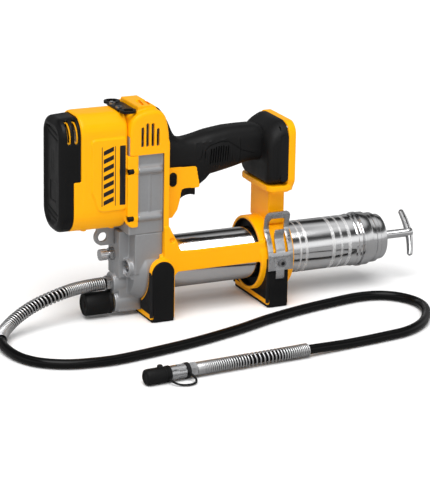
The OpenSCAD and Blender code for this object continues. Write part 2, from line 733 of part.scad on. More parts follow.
// Battery block: its upper front leans back.
module block_solid() {
  hull() {
    along_x(126, 126.4) rounded(-34, 34, 139, 192, 12);
    block_section();
  }
  hull() {
    block_section();
    along_x(144, 149) rounded(-block_half, block_half, 136 + gap, 206, 14);
  }
}
module grip_solid() difference() {
  union() {
    along_y(-grip_half + 4, grip_half - 4) polygon(grip_points);
    along_y(-grip_half + 1.2, grip_half - 1.2) offset(delta = -1.5) polygon(grip_points);
    along_y(-grip_half, grip_half) offset(delta = -4) polygon(grip_points);
    block_solid();
  }
  along_y(-15.2, 15.2) offset(delta = -6.5) polygon(grip_points);
  hull() {
    along_x(129.5, 130) rounded(-31, 31, 142, 190, 9);
    along_x(140, 150) rounded(-block_half + 3, block_half - 3, 139, 202.6, 11);
  }
  box(120, 131, -12, 12, 160, 188);
  trigger_opening(120, 158);
  along_y(-50, 50) lock_slot(0.15);
}
module grip_shell(s) color(BLACK) one_side(s) difference() {
  union() {
    grip_solid();
    for (i = [1, 2]) screw_post(i, 15.4);
  }
  screw_holes();
}
module grip_shell_left() grip_shell(-1);
module grip_shell_right() grip_shell(1);

// ---- Controls and battery side
blade_y = [-9, -4.5, 0, 4.5, 9];
module battery_terminal_block() color([0.09, 0.09, 0.09]) difference() {
  union() {
    along_x(141, 151) rounded(-32.6, 32.6, 140, 200.5, 8.5);
    box(150.9, 156, -15, 15, 150, 186);
    // Rails with inward lips
    box_pair(150.9, 157, 26, 29, 146, 196);
    box_pair(154.6, 157, 22, 27, 146, 196);
  }
  for (y = blade_y) box(140, 160, y - 0.5, y + 0.5, 157.9, 172.1);
}
module terminal_blades() color([0.8, 0.72, 0.5])
  for (y = blade_y) box(139, 157.4, y - 0.4, y + 0.4, 158, 172);
module controller_board() color([0.1, 0.35, 0.2]) {
  box(-84, -44, -16, 16, 112, 113.6);
  for (x = [-76, -64, -52]) cyl_z(113.5, 121, 3.4, x, -8);
  box(-80, -56, 2, 12, 113.5, 119);
}
module switch_body() color([0.16, 0.16, 0.18]) {
  box(38, 80, -11, 11, 159.6, 182);
  box(50, 60, -4, 4, 181, 184);
}
module trigger() color(BLACK) along_y(-trigger_half, trigger_half) difference() {
  polygon([[27.8, 120.8], [29.5, 131], [33, 146], [50, 147.5], [52, 128], [51, 127.6]]);
  translate([45.5, 117.5]) circle(15.6);
}
module trigger_spring() color(STEEL) translate([42, 0, 0]) spring_z(147.6, 159.5, 3.4, 0.5, 5);
module lock_button() color(BLACK) along_y(-20.4, 20.4) lock_slot(0);

// ---- Feet, clip and screws
// Rubber face that fills the corner between a foot, its ring of radius r and the base bar.
module pad_face(x0, x1, y0, r) {
  for (s = [-1, 1]) difference() {
    along_x(x0, x1) polygon([[s * y0, 9.5], [s * 41, 9.5], [s * 42.9, 14], [s * 42.9, 56],
      [s * 30, 56], [s * y0, 30]]);
    cyl_x(x0 - 1, x1 + 1, r, axis_z);
  }
  box_pair(x0, x0 + 2.6, pad_inner, foot_half, 12, 54);
}
module front_foot_pad() color(BLACK) {
  along_y_pair(pad_inner, foot_half) arch(front_foot_x, 13, 0, 67.4);
  box(front_foot_x - 13, front_foot_x + 13, -foot_half, foot_half, 0, 2.9);
  pad_face(-14.6, -13.8, 15.6, 38.5);
}
module rear_foot_pad() color(BLACK) difference() {
  union() {
    along_y_pair(pad_inner, foot_half) arch(rear_foot_x, 12, 0, 58.4);
    box(rear_foot_x - 12, rear_foot_x + 12, -foot_half, foot_half, 0, 2.9);
    pad_face(124.1, 124.9, -1, 41.2);
  }
  clip_hole(-30, 2);
}
module barrel_ring_seal() color(BLACK) ring_x(124.5, 157.5, 34.1, barrel_r + 0.12, axis_z);
// Path p moved sideways by d.
function beside(p, d) =
  [for (i = [0:len(p) - 1]) let (q = heading(p, i)) p[i] + d * [-q[1], q[0]]];
// Open path p as a sheet section of thickness t.
module sheet(p, t = 1.5) {
  far = beside(p, -t / 2);
  polygon(concat(beside(p, t / 2), [for (i = [len(p) - 1:-1:0]) far[i]]));
}
// Section of the clip arms, as (y, z).
clip_path = [[clip_y, 42.6], [clip_y, 58], [-42.9, 64.5], [-40.2, 71.5], [-36.4, 78],
  [-32.4, 83], [-30.6, 87], [-31.4, 93], [-34.4, 102.6], [-35.2, 106.6]];
module hose_clip() color([0.72, 0.74, 0.76]) difference() {
  union() {
    for (x = [124.5, 148.6]) along_x(x, x + 6) sheet(clip_path);
    along_x(124.5, 154.6) sheet([[-31.6, 94.6], [-34.4, 102.6], [-35.2, 106.6]]);
    along_x(124.5, 154.6) sheet([[clip_y, 42.6], [clip_y, 58], [-43.3, 62.4]]);
    // Tongue between the arms
    along_x(134, 145) sheet([[-43.5, 61], [-42.6, 66], [-40.4, 72], [-38.2, 77], [-38, 82],
      [-40.3, 87.6]], 1.4);
    along_x(134, 144) sheet([[clip_y, 33], [clip_y, 43.2]]);
  }
  clip_hole(-30, 2.1);
}
module clip_screw() color(DARK) difference() {
  union() {
    cyl_y(-47.2, -44.8, 4.2, clip_x, clip_z);
    cyl_y(-45, -35.5, 1.95, clip_x, clip_z);
  }
  translate([clip_x, -46, clip_z]) rotate([90, 0, 0]) cylinder(h = 4, r = 2.3, $fn = 6);
}
module strap_bracket() color(BLACK) difference() {
  union() {
    box(-42.6, -24.5, -17, 17, 231 + gap, 233);
    for (s = [-1, 1]) cyl_z(231 + gap, 233.6, 8.9, -33.6, s * 22);
  }
  for (s = [-1, 1]) cyl_z(230, 235, 5.4, -33.6, s * 23.2);
  at_strap_screws() cyl_z(224, 240, 1.95);
}
module strap_screws() color(DARK) at_strap_screws() difference() {
  union() {
    cyl_z(233.02, 235, 3.4);
    cyl_z(226, 233.5, 1.85);
  }
  translate([0, 0, 234]) cylinder(h = 3, r = 1.9, $fn = 6);
}
module housing_screws() color(BLACKENED) at_case_screws() difference() {
  union() {
    cyl_x(-35, -31, 3.3);
    cyl_x(-32, 2.4, 1.9);
  }
  hex_x(-37, -33, 3);
}
module clamshell_screws() color(BLACKENED) mirror([0, 1, 0]) for (c = shell_screws) difference() {
  union() {
    cyl_y(c[2], c[2] + 3, 3.4, c[0], c[1]);
    cyl_y(c[2] + 2.5, c[2] + 26, 1.9, c[0], c[1]);
  }
  translate([c[0], c[2] + 1.6, c[1]]) rotate([90, 0, 0]) cylinder(h = 4, r = 1.8, $fn = 6);
}

// ---- Barrel
// Profile given as (radius, x), turned around the barrel axis.
module turned() {
  translate([0, 0, axis_z]) rotate([0, 90, 0]) rotate_extrude($fn = 96) children();
}
module barrel_tube() color([0.82, 0.83, 0.85]) turned() {
  translate([bore_r, 0.05]) square([barrel_wall, barrel_end - 0.05]);
  // Beads around the tube
  for (x = [191, 196, 229, 233, 244, 249]) translate([barrel_r - 0.3, x]) circle(1, $fn = 16);
}
// Steps of the end cap: [start x, radius, length].
cap_steps = [[251.5, barrel_r + 1.9, 3], [254, barrel_r + 1.2, 9], [262, barrel_r - 0.6, 12],
  [273, barrel_r - 2, 3], [275, 25.6, 8]];
module barrel_end_cap() color([0.75, 0.76, 0.78]) turned() difference() {
  for (c = cap_steps) translate([0, c[0]]) square([c[1], c[2]]);
  translate([-1, 240]) square([barrel_r + 0.05 + 1, barrel_end - 240 + 0.05]);
  translate([-1, 250]) square([25, 30]);
  translate([-1, 250]) square([8, 40]);
}
module barrel_gasket() color(BLACK) ring_x(-0.95, 0, barrel_r, bore_r - 1, axis_z);
module rod_bush() color(DARK) difference() {
  union() {
    cyl_x(280.2, 285.4, 6.9, axis_z);
    cyl_x(283.1, 285.4, 9.5, axis_z);
  }
  cyl_x(278, 290, rod_bore, axis_z);
}
module follower_plate() color(STEEL) {
  ring_x(12, 14, 26.2, rod_bore, axis_z);
  ring_x(13.9, 26, 8, rod_bore, axis_z);
}
module follower_seal() color(BLACK) {
  ring_x(14.05, 16.5, bore_r - 0.1, 8.1, axis_z);
  ring_x(16.4, 27, bore_r - 0.1, 25, axis_z);
}
module follower_spring() color(STEEL)
  spring_x(16.7, 279.8, 17, 1.2, follower_turns, axis_z, 24);
// Places its children on the bar of the T-handle, tilted about the rod.
module at_handle() translate([321.7, 0, axis_z]) rotate([-29.5, 0, 0]) children();
module follower_rod() color([0.8, 0.81, 0.83]) difference() {
  union() {
    cyl_x(8, 326.5, rod_d / 2, axis_z);
    cyl_x(8, 11.9, 8, axis_z);
  }
  at_handle() cyl_z(-30, 30, handle_d / 2 + 0.02);
}
module t_handle() color([0.86, 0.87, 0.89]) at_handle() cyl_z(-27, 27, handle_d / 2);

// ---- Nodes
function wanted(name) = node == "all" || node == name;
if (wanted("motor_housing")) motor_housing();
if (wanted("motor_end_cap")) motor_end_cap();
if (wanted("motor_can")) motor_can();
if (wanted("rotor_shaft")) rotor_shaft();
if (wanted("motor_fan")) motor_fan();
if (wanted("motor_bearings")) motor_bearings();
if (wanted("gear_case")) gear_case();
if (wanted("gear_case_cover")) gear_case_cover();
if (wanted("intermediate_gear")) intermediate_gear();
if (wanted("crank_gear")) crank_gear();
if (wanted("gear_bearings")) gear_bearings();
if (wanted("pump_head")) pump_head();
if (wanted("pump_plunger")) pump_plunger();
if (wanted("plunger_seal")) plunger_seal();
if (wanted("check_ball")) check_ball();
if (wanted("check_spring")) check_spring();
if (wanted("relief_plug")) relief_plug();
if (wanted("bleeder_body")) bleeder_body();
if (wanted("bleeder_stem")) bleeder_stem();
if (wanted("filler_nipple")) filler_nipple();
if (wanted("filler_cap")) filler_cap();
if (wanted("hose_fitting")) hose_fitting();
if (wanted("hose")) hose();
if (wanted("spring_guard_inner")) spring_guard_inner();
if (wanted("spring_guard_outer")) spring_guard_outer();
if (wanted("coupler_fitting")) coupler_fitting();
if (wanted("coupler_body")) coupler_body();
if (wanted("coupler_jaws")) coupler_jaws();
if (wanted("dust_cap")) dust_cap();
if (wanted("dust_cap_tether")) dust_cap_tether();
if (wanted("frame_shell_left")) frame_shell_left();
if (wanted("frame_shell_right")) frame_shell_right();
if (wanted("grip_shell_left")) grip_shell_left();
if (wanted("grip_shell_right")) grip_shell_right();
if (wanted("battery_terminal_block")) battery_terminal_block();
if (wanted("terminal_blades")) terminal_blades();
if (wanted("controller_board")) controller_board();
if (wanted("switch_body")) switch_body();
if (wanted("trigger")) trigger();
if (wanted("trigger_spring")) trigger_spring();
if (wanted("lock_button")) lock_button();
if (wanted("front_foot_pad")) front_foot_pad();
if (wanted("rear_foot_pad")) rear_foot_pad();
if (wanted("barrel_ring_seal")) barrel_ring_seal();
if (wanted("hose_clip")) hose_clip();
if (wanted("clip_screw")) clip_screw();
if (wanted("strap_bracket")) strap_bracket();
if (wanted("strap_screws")) strap_screws();
if (wanted("housing_screws")) housing_screws();
if (wanted("clamshell_screws")) clamshell_screws();
if (wanted("barrel_tube")) barrel_tube();
if (wanted("barrel_end_cap")) barrel_end_cap();
if (wanted("barrel_gasket")) barrel_gasket();
if (wanted("rod_bush")) rod_bush();
if (wanted("follower_plate")) follower_plate();
if (wanted("follower_seal")) follower_seal();
if (wanted("follower_spring")) follower_spring();
if (wanted("follower_rod")) follower_rod();
if (wanted("t_handle")) t_handle();
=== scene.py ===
"""Cordless grease gun standing on its feet, on a studio floor.

Units are millimetres unless noted. Z is up from the floor. X runs along the barrel, from the
motor end (-112) to the T-handle (+326). Y = 0 is the middle plane and the camera is on the -Y
side. New meshes take the place of the CAD nodes, or keep those nodes and give them a finish.
"""

import math
import bpy
import bmesh
import numpy as np
from mathutils import Matrix, Vector


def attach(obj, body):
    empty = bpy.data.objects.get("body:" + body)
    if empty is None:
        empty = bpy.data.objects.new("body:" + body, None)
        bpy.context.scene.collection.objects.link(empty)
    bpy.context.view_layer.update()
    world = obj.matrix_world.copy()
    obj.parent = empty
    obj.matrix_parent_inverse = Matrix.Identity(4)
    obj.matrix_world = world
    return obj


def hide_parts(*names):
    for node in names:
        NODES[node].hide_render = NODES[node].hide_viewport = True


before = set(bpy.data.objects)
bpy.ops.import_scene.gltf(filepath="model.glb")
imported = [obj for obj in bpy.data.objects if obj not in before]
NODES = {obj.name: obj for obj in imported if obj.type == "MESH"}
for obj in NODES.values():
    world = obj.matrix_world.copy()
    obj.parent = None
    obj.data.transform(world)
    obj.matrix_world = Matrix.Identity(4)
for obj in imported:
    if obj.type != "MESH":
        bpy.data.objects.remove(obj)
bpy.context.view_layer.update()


SC = bpy.context.scene
MM = 0.001

# Shared places
SIDES = (-1, 1)                  # -Y, then +Y
MOTOR_Z = 198.0                  # height of the motor axis
BARREL_Z = 53.0                  # height of the barrel axis
BARREL_AXIS = (0, BARREL_Z)      # its (y, z)
BARREL_R = 28.75                 # outside radius of the tube
SCREW_Y = 32                     # housing screws, out from the middle plane
SCREW_ZS = (116.5, 168.6)
BOSS_Y = 31.5                    # round bosses by those screws
CLIP_SCREW = (141, 50.5)         # (x, z) of the screw hole in clip and rear foot
STRAP_SCREW_X = -38.6
STRAP_SCREW_YS = (-9, 9)
# (x, top z) of the upright slots through gear case and frame
VENT_SLOTS = ((-21.6, 216), (-15.9, 220), (-9.9, 219.6), (-3.9, 213.6))


# ------------------------------------------------------------------ flat outlines
CORNER_STEPS = 5


def rect(a0, a1, b0, b1):
    return [(a0, b0), (a1, b0), (a1, b1), (a0, b1)]


def round_rect(a0, a1, b0, b1, r, steps=6, low_r=None):
    """Rounded rectangle; low_r is the radius of the two lower corners."""
    low_r = r if low_r is None else low_r
    corners = ((a1 - r, b1 - r, 0, r), (a0 + r, b1 - r, 90, r),
               (a0 + low_r, b0 + low_r, 180, low_r), (a1 - low_r, b0 + low_r, 270, low_r))
    points = []
    for centre_a, centre_b, start, radius in corners:
        for k in range(steps + 1):
            turn = math.radians(start + 90 * k / steps)
            points.append((centre_a + radius * math.cos(turn), centre_b + radius * math.sin(turn)))
    return points


def bend(start, corner, end, steps):
    """Quadratic curve that rounds a corner."""
    return [tuple((1 - u) ** 2 * start + 2 * u * (1 - u) * corner + u * u * end)
            for u in (k / steps for k in range(steps + 1))]


def rounded(points, radii):
    """Closed polygon with its corners rounded, by one radius or one for each."""
    out = []
    count = len(points)
    for i in range(count):
        before, corner, after = (np.array(points[(i + d) % count], float) for d in (-1, 0, 1))
        r = radii[i] if hasattr(radii, "__len__") else radii
        a, b = before - corner, after - corner
        len_a, len_b = np.linalg.norm(a), np.linalg.norm(b)
        a, b = a / len_a, b / len_b
        angle = math.acos(max(-1, min(1, float(a @ b))))
        if r <= 0.01 or abs(angle - math.pi) < 0.02:
            out.append(tuple(corner))
            continue
        t = min(r / math.tan(angle / 2), len_a * 0.48, len_b * 0.48)
        out += bend(corner + a * t, corner, corner + b * t, CORNER_STEPS)
    return out


def eased(path, reach=1.6, steps=4):
    """Open path with its corners rounded, starting up to reach before each."""
    out = [path[0]]
    for i in range(1, len(path) - 1):
        before, corner, after = (np.array(p, float) for p in path[i - 1:i + 2])
        len_a, len_b = np.linalg.norm(before - corner), np.linalg.norm(after - corner)
        t = min(reach, len_a * 0.45, len_b * 0.45)
        out += bend(corner + (before - corner) / len_a * t, corner,
                    corner + (after - corner) / len_b * t, steps)
    return out + [path[-1]]


def arc(a, b, r, start, end, steps):
    """Arc about (a, b), angles in degrees, both ends included."""
    turns = [math.radians(start + (end - start) * k / steps) for k in range(steps + 1)]
    return [(a + r * math.cos(t), b + r * math.sin(t)) for t in turns]


def circle(a, b, r, count):
    return arc(a, b, r, 0, 360, count)[:-1]


def span(side, near, far):
    """Y range from near to far off the middle plane, on the given side."""
    return (near, far) if side > 0 else (-far, -near)


# ------------------------------------------------------------------ solids
def make_object(verts, faces, name):
    mesh = bpy.data.meshes.new(name)
    mesh.from_pydata([tuple(float(c) * MM for c in v) for v in verts], [], faces)
    ob = bpy.data.objects.new(name, mesh)
    SC.collection.objects.link(ob)
    bm = bmesh.new()
    bm.from_mesh(mesh)
    bmesh.ops.recalc_face_normals(bm, faces=bm.faces)
    bm.to_mesh(mesh)
    bm.free()
    return ob


def place(axis, a, b, along):
    return {"X": (along, a, b), "Y": (a, along, b), "Z": (a, b, along)}[axis]


def stitch(first, second, count):
    """Quads between two rings of vertices that start at the given indices."""
    return [[first + i, first + (i + 1) % count, second + (i + 1) % count, second + i]
            for i in range(count)]


def prism(points, axis, c0, c1, name="part"):
    """Outline extruded along axis: X takes (y, z), Y takes (x, z), Z takes (x, y)."""
    n = len(points)
    verts = [place(axis, a, b, c) for c in (c0, c1) for a, b in points]
    faces = [list(range(n)), list(range(n, 2 * n))] + stitch(0, n, n)
    return make_object(verts, faces, name)


def loft(rings, name="part"):
    n = len(rings[0])
    last = len(rings) - 1
    faces = [list(range(n)), list(range(last * n, (last + 1) * n))]
    for k in range(last):
        faces += stitch(k * n, (k + 1) * n, n)
    return make_object([p for ring in rings for p in ring], faces, name)


def lathe(profile, centre, seg, name="part", axis="X", closed=False):
    """Profile of (along, radius) turned about axis; a zero radius at an end closes the form."""
    verts, rows = [], []
    for along, r in profile:
        count = 1 if r < 1e-6 else seg
        rows.append(list(range(len(verts), len(verts) + count)))
        if count == 1:
            verts.append(place(axis, centre[0], centre[1], along))
            continue
        for k in range(seg):
            turn = 2 * math.pi * k / seg
            verts.append(place(axis, centre[0] + r * math.cos(turn),
                               centre[1] + r * math.sin(turn), along))
    faces = []
    for p, q in list(zip(rows, rows[1:])) + ([(rows[-1], rows[0])] if closed else []):
        if len(p) == 1:
            faces += [[p[0], q[k], q[(k + 1) % seg]] for k in range(seg)]
        elif len(q) == 1:
            faces += [[p[k], q[0], p[(k + 1) % seg]] for k in range(seg)]
        else:
            faces += stitch(p[0], q[0], seg)
    return make_object(verts, faces, name)


def box(x0, x1, y0, y1, z0, z1):
    return prism(rect(x0, x1, z0, z1), "Y", y0, y1)


def cylinder(axis, c0, c1, r, a=0, b=0, seg=40):
    return lathe([(c0, 0), (c0, r), (c1, r), (c1, 0)], (a, b), seg, axis=axis)


def ball(centre, r):
    profile = [(centre[0] + r * -math.cos(math.pi * k / 12), r * math.sin(math.pi * k / 12))
               for k in range(13)]
    return lathe(profile, centre[1:], 24)


def tube(points, radii, seg, name):
    """Round tube along a 3D path, its section carried along without twist."""
    points = [np.array(p, float) for p in points]
    rings = []
    ref = None
    for i, p in enumerate(points):
        t = points[min(i + 1, len(points) - 1)] - points[max(i - 1, 0)]
        t = t / np.linalg.norm(t)
        if ref is None:
            ref = np.array([0, 0, 1.0]) if abs(t[2]) < 0.9 else np.array([1.0, 0, 0])
        ref = ref - t * (ref @ t)
        ref = ref / np.linalg.norm(ref)
        across = np.cross(t, ref)
        r = radii[i] if hasattr(radii, "__len__") else radii
        turns = [2 * math.pi * k / seg for k in range(seg)]
        rings.append([p + r * (across * math.cos(w) + ref * math.sin(w)) for w in turns])
    return loft(rings, name)


def strip(path, axis, c0, c1, thick, name="part"):
    """Sheet of the given thickness: an open path in a plane, extruded along axis."""
    path = [np.array(p, float) for p in path]
    left, right = [], []
    for i, p in enumerate(path):
        d = path[min(i + 1, len(path) - 1)] - path[max(i - 1, 0)]
        d = d / np.linalg.norm(d)
        normal = np.array([-d[1], d[0]])
        left.append(tuple(p + normal * thick / 2))
        right.append(tuple(p - normal * thick / 2))
    return prism(left + right[::-1], axis, c0, c1, name)


def from_cad(name, node):
    """A new mesh that starts from the CAD node's surface, welded."""
    mesh = NODES[node].data.copy()
    mesh.materials.clear()
    ob = bpy.data.objects.new(name, mesh)
    SC.collection.objects.link(ob)
    bm = bmesh.new()
    bm.from_mesh(mesh)
    bmesh.ops.remove_doubles(bm, verts=bm.verts, dist=2e-6)
    bm.normal_update()
    bm.to_mesh(mesh)
    bm.free()
    # guards against a shading attribute that can't be removed from the mesh
    try:
        for attribute in ("custom_normal", "sharp_face", "sharp_edge"):
            if attribute in mesh.attributes:
                mesh.attributes.remove(mesh.attributes[attribute])
    except Exception:
        pass
    return ob


# ------------------------------------------------------------------ shaping
def apply_modifiers(ob):
    depsgraph = bpy.context.evaluated_depsgraph_get()
    mesh = bpy.data.meshes.new_from_object(ob.evaluated_get(depsgraph))
    ob.modifiers.clear()
    old = ob.data
    ob.data = mesh
    bpy.data.meshes.remove(old)
    return ob


def boolean(ob, other, operation):
    """Combines ob with other, and uses other up."""
    mod = ob.modifiers.new("boolean", "BOOLEAN")
    mod.operation = operation
    mod.solver = "MANIFOLD"
    mod.object = other
    apply_modifiers(ob)
    bpy.data.objects.remove(other, do_unlink=True)
    return ob


def union(ob, *others):
    for other in others:
        boolean(ob, other, "UNION")
    return ob


def cut(ob, *others):
    for other in others:
        boolean(ob, other, "DIFFERENCE")
    return ob


def bevel(ob, width, seg=3, angle=35):
    mod = ob.modifiers.new("bevel", "BEVEL")
    mod.width = width * MM
    mod.segments = seg
    mod.limit_method = "ANGLE"
    mod.angle_limit = math.radians(angle)
    mod.use_clamp_overlap = True
    mod.loop_slide = True
    return apply_modifiers(ob)


def soften(ob, voxel, iterations, ratio):
    """Rounds every edge a little, as a casting or moulding has it."""
    remesh = ob.modifiers.new("remesh", "REMESH")
    remesh.mode = "VOXEL"
    remesh.voxel_size = voxel * MM
    smooth = ob.modifiers.new("smooth", "SMOOTH")
    smooth.factor = 0.5
    smooth.iterations = iterations
    ob.modifiers.new("decimate", "DECIMATE").ratio = ratio
    return apply_modifiers(ob)


# ------------------------------------------------------------------ shader nodes
def rgba(color):
    return (*color, 1)


class Nodes:
    """Short ways to add and join nodes in a shader tree."""

    def __init__(self, tree):
        self.tree = tree

    def add(self, kind, **settings):
        """Settings name an input of the node, or else a property."""
        node = self.tree.nodes.new(kind)
        for key, value in settings.items():
            if key in node.inputs:
                node.inputs[key].default_value = value
            else:
                setattr(node, key, value)
        return node

    def feed(self, socket, value):
        """Links a socket, or sets a plain value."""
        if isinstance(value, bpy.types.NodeSocket):
            self.tree.links.new(value, socket)
        else:
            socket.default_value = value

    def calc(self, operation, *terms, clamp=False):
        node = self.add("ShaderNodeMath", operation=operation, use_clamp=clamp)
        for socket, term in zip(node.inputs, terms):
            self.feed(socket, term)
        return node.outputs[0]

    def mix(self, factor, a, b):
        node = self.add("ShaderNodeMix", data_type="RGBA")
        for key, value in (("Factor", factor), ("A", a), ("B", b)):
            self.feed(node.inputs[key], value)
        return node.outputs["Result"]

    def mix_shader(self, factor, a, b):
        node = self.add("ShaderNodeMixShader")
        for socket, value in zip(node.inputs, (factor, a, b)):
            self.feed(socket, value)
        return node.outputs[0]

    def map_range(self, value, source=(0, 1), target=(0, 1), **settings):
        node = self.add("ShaderNodeMapRange", **settings)
        for key, limit in zip(("From Min", "From Max", "To Min", "To Max"), (*source, *target)):
            node.inputs[key].default_value = limit
        self.feed(node.inputs["Value"], value)
        return node.outputs["Result"]

    def grey_ramp(self, factor, stops):
        """Stops are (position, grey), in order from 0 to 1."""
        node = self.add("ShaderNodeValToRGB")
        self.feed(node.inputs["Fac"], factor)
        elements = node.color_ramp.elements
        for end in (0, -1):
            elements[end].position = stops[end][0]
            elements[end].color = rgba([stops[end][1]] * 3)
        for position, grey in stops[1:-1]:
            elements.new(position).color = rgba([grey] * 3)
        return node.outputs["Color"]


class Material(Nodes):
    """Principled material that gets its tone and gloss variation from noise in object space, and
    can take a painted edge highlight.
    """

    def __init__(self, name, color, rough, metal=0.0, specular=0.5, coat=0.0):
        self.material = bpy.data.materials.new(name)
        self.material.use_nodes = True
        super().__init__(self.material.node_tree)
        self.bsdf = self.tree.nodes["Principled BSDF"]
        for key, value in (("Base Color", rgba(color)), ("Roughness", rough),
                           ("Metallic", metal), ("Specular IOR Level", specular),
                           ("Coat Weight", coat), ("Coat Roughness", 0.12)):
            self.wire(key, value)
        self.coords = self.add("ShaderNodeTexCoord")
        self.normal = None
        self.color = color

    def wire(self, key, value):
        self.feed(self.bsdf.inputs[key], value)

    def source(self, key):
        """What feeds an input of the shader now."""
        return self.bsdf.inputs[key].links[0].from_socket

    def noise(self, scale, detail=3.0, stretch=None, rough=0.5):
        node = self.add("ShaderNodeTexNoise", Scale=scale, Detail=detail, Roughness=rough)
        vector = self.coords.outputs["Object"]
        if stretch:
            mapping = self.add("ShaderNodeMapping", Scale=stretch)
            self.feed(mapping.inputs["Vector"], vector)
            vector = mapping.outputs["Vector"]
        self.feed(node.inputs["Vector"], vector)
        return node.outputs["Fac"]

    def tones(self, factor, amount):
        """Base colour moved between a darker and a lighter tone."""
        dark = [max(0, c * (1 - amount)) for c in self.color]
        light = [min(1, c * (1 + amount)) for c in self.color]
        self.wire("Base Color", self.mix(factor, rgba(dark), rgba(light)))

    def gloss(self, factor, low, high):
        """Roughness moved between two values."""
        self.wire("Roughness", self.map_range(factor, source=(0.3, 0.7), target=(low, high)))

    def bump(self, factor, strength, depth):
        """Surface relief, laid over any earlier one; depth in mm."""
        node = self.add("ShaderNodeBump", Strength=strength, Distance=depth * MM)
        self.feed(node.inputs["Height"], factor)
        if self.normal:
            self.feed(node.inputs["Normal"], self.normal)
        self.normal = node.outputs["Normal"]
        self.wire("Normal", self.normal)

    def painted_edge_highlight(self, color, low=0.52, high=0.62):
        """Painted edge highlight: lighter colour on the edges, between two values of pointiness.
        """
        point = self.add("ShaderNodeNewGeometry").outputs["Pointiness"]
        # mask of the painted highlight along the edges
        edge_highlight_mask = self.map_range(point, source=(low, high), target=(0, 0.35))
        self.wire("Base Color", self.mix(edge_highlight_mask, self.source("Base Color"), rgba(color)))


# ------------------------------------------------------------------ materials
def yellow_nylon():
    m = Material("yellow_nylon", (1.0, 0.415, 0.0), rough=0.36, specular=0.14, coat=0.03)
    m.tones(m.noise(scale=9), amount=0.035)
    # lighter edges: a painted highlight
    m.painted_edge_highlight((1.0, 0.62, 0.08), low=0.53, high=0.66)
    m.gloss(m.noise(scale=60, detail=4), low=0.28, high=0.42)
    m.bump(m.noise(scale=2600, detail=2), strength=0.12, depth=0.02)
    m.bump(m.noise(scale=420, detail=2), strength=0.05, depth=0.03)
    return m


def dark_moulding(name, rough, tone, grain, relief):
    """Near-black plastic or rubber; grain is the noise scale of its surface."""
    m = Material(name, (tone, tone, tone * 1.03), rough, specular=0.12)
    m.tones(m.noise(scale=14), amount=0.25)
    # lighter edges: a painted highlight
    m.painted_edge_highlight((0.035, 0.035, 0.037), low=0.54, high=0.68)
    m.gloss(m.noise(scale=70, detail=4), low=rough - 0.07, high=rough + 0.08)
    m.bump(m.noise(scale=grain, detail=2), strength=relief, depth=0.03)
    return m


def board_lacquer():
    m = dark_moulding("board_lacquer", rough=0.3, tone=0.02, grain=900, relief=0.1)
    # a green kept as the socket's own value; the linked tones drive the render
    m.bsdf.inputs["Base Color"].default_value = (0.01, 0.09, 0.04, 1)
    return m


def cast_aluminium():
    m = Material("cast_aluminium", (0.33, 0.335, 0.345), rough=0.45, metal=0.55)
    m.tones(m.noise(scale=22, detail=5, rough=0.6), amount=0.14)
    # lighter edges: a painted highlight
    m.painted_edge_highlight((0.8, 0.81, 0.83))
    m.gloss(m.noise(scale=300, detail=4), low=0.34, high=0.54)
    m.bump(m.noise(scale=1100), strength=0.35, depth=0.05)
    m.bump(m.noise(scale=130), strength=0.12, depth=0.12)
    return m


def plated(name, stretch, rough, tone):
    m = Material(name, (tone, tone, tone * 1.01), rough, metal=1.0)
    m.tones(m.noise(scale=30, detail=4, stretch=stretch), amount=0.05)
    m.gloss(m.noise(scale=40, detail=4, stretch=stretch), low=rough * 0.7, high=rough * 1.5)
    m.bump(m.noise(scale=90, stretch=stretch), strength=0.04, depth=0.02)
    return m


# (x, half width) of the pale matt bands round the barrel
BARREL_BANDS = ((172.5, 0.9), (179.8, 1.4), (213.3, 1.7), (223.5, 1.3), (233.6, 1.9))
BAND_EDGE = 0.25      # width over which a band fades out
BAND_SCALE = 256      # length that the ramp stands for, about the tube's own


def barrel_plate():
    """Plating with pale, broken bands round the tube."""
    m = plated("barrel_plate", stretch=(1, 12, 12), rough=0.13, tone=0.72)
    axes = m.add("ShaderNodeSeparateXYZ")
    m.feed(axes.inputs[0], m.coords.outputs["Generated"])
    stops = [(0.0, 0)]
    for x, half in BARREL_BANDS:
        stops += [(edge / BAND_SCALE, grey) for edge, grey in (
            (x - half - BAND_EDGE, 0), (x - half, 1), (x + half, 1), (x + half + BAND_EDGE, 0))]
    bands = m.grey_ramp(axes.outputs["X"], stops + [(1.0, 0)])
    broken = m.calc("MULTIPLY", bands, m.noise(scale=500))
    cover = m.calc("MULTIPLY", broken, 0.95, clamp=True)
    m.wire("Base Color", m.mix(cover, m.source("Base Color"), rgba((0.9, 0.9, 0.9))))
    # the bands are half as metallic and rougher by 0.4 where they cover fully
    m.wire("Metallic", m.calc("MULTIPLY_ADD", cover, -0.5, 1.0))
    m.wire("Roughness", m.calc("MULTIPLY_ADD", cover, 0.4, m.source("Roughness")))
    return m


def bare_metal(name, color, rough, stretch=None):
    m = Material(name, color, rough, metal=1.0)
    m.tones(m.noise(scale=160, detail=4, stretch=stretch), amount=0.16)
    # lighter edges: a painted highlight
    m.painted_edge_highlight((0.9, 0.9, 0.92))
    m.gloss(m.noise(scale=400), low=rough - 0.08, high=rough + 0.12)
    m.bump(m.noise(scale=900, detail=2), strength=0.12, depth=0.03)
    return m


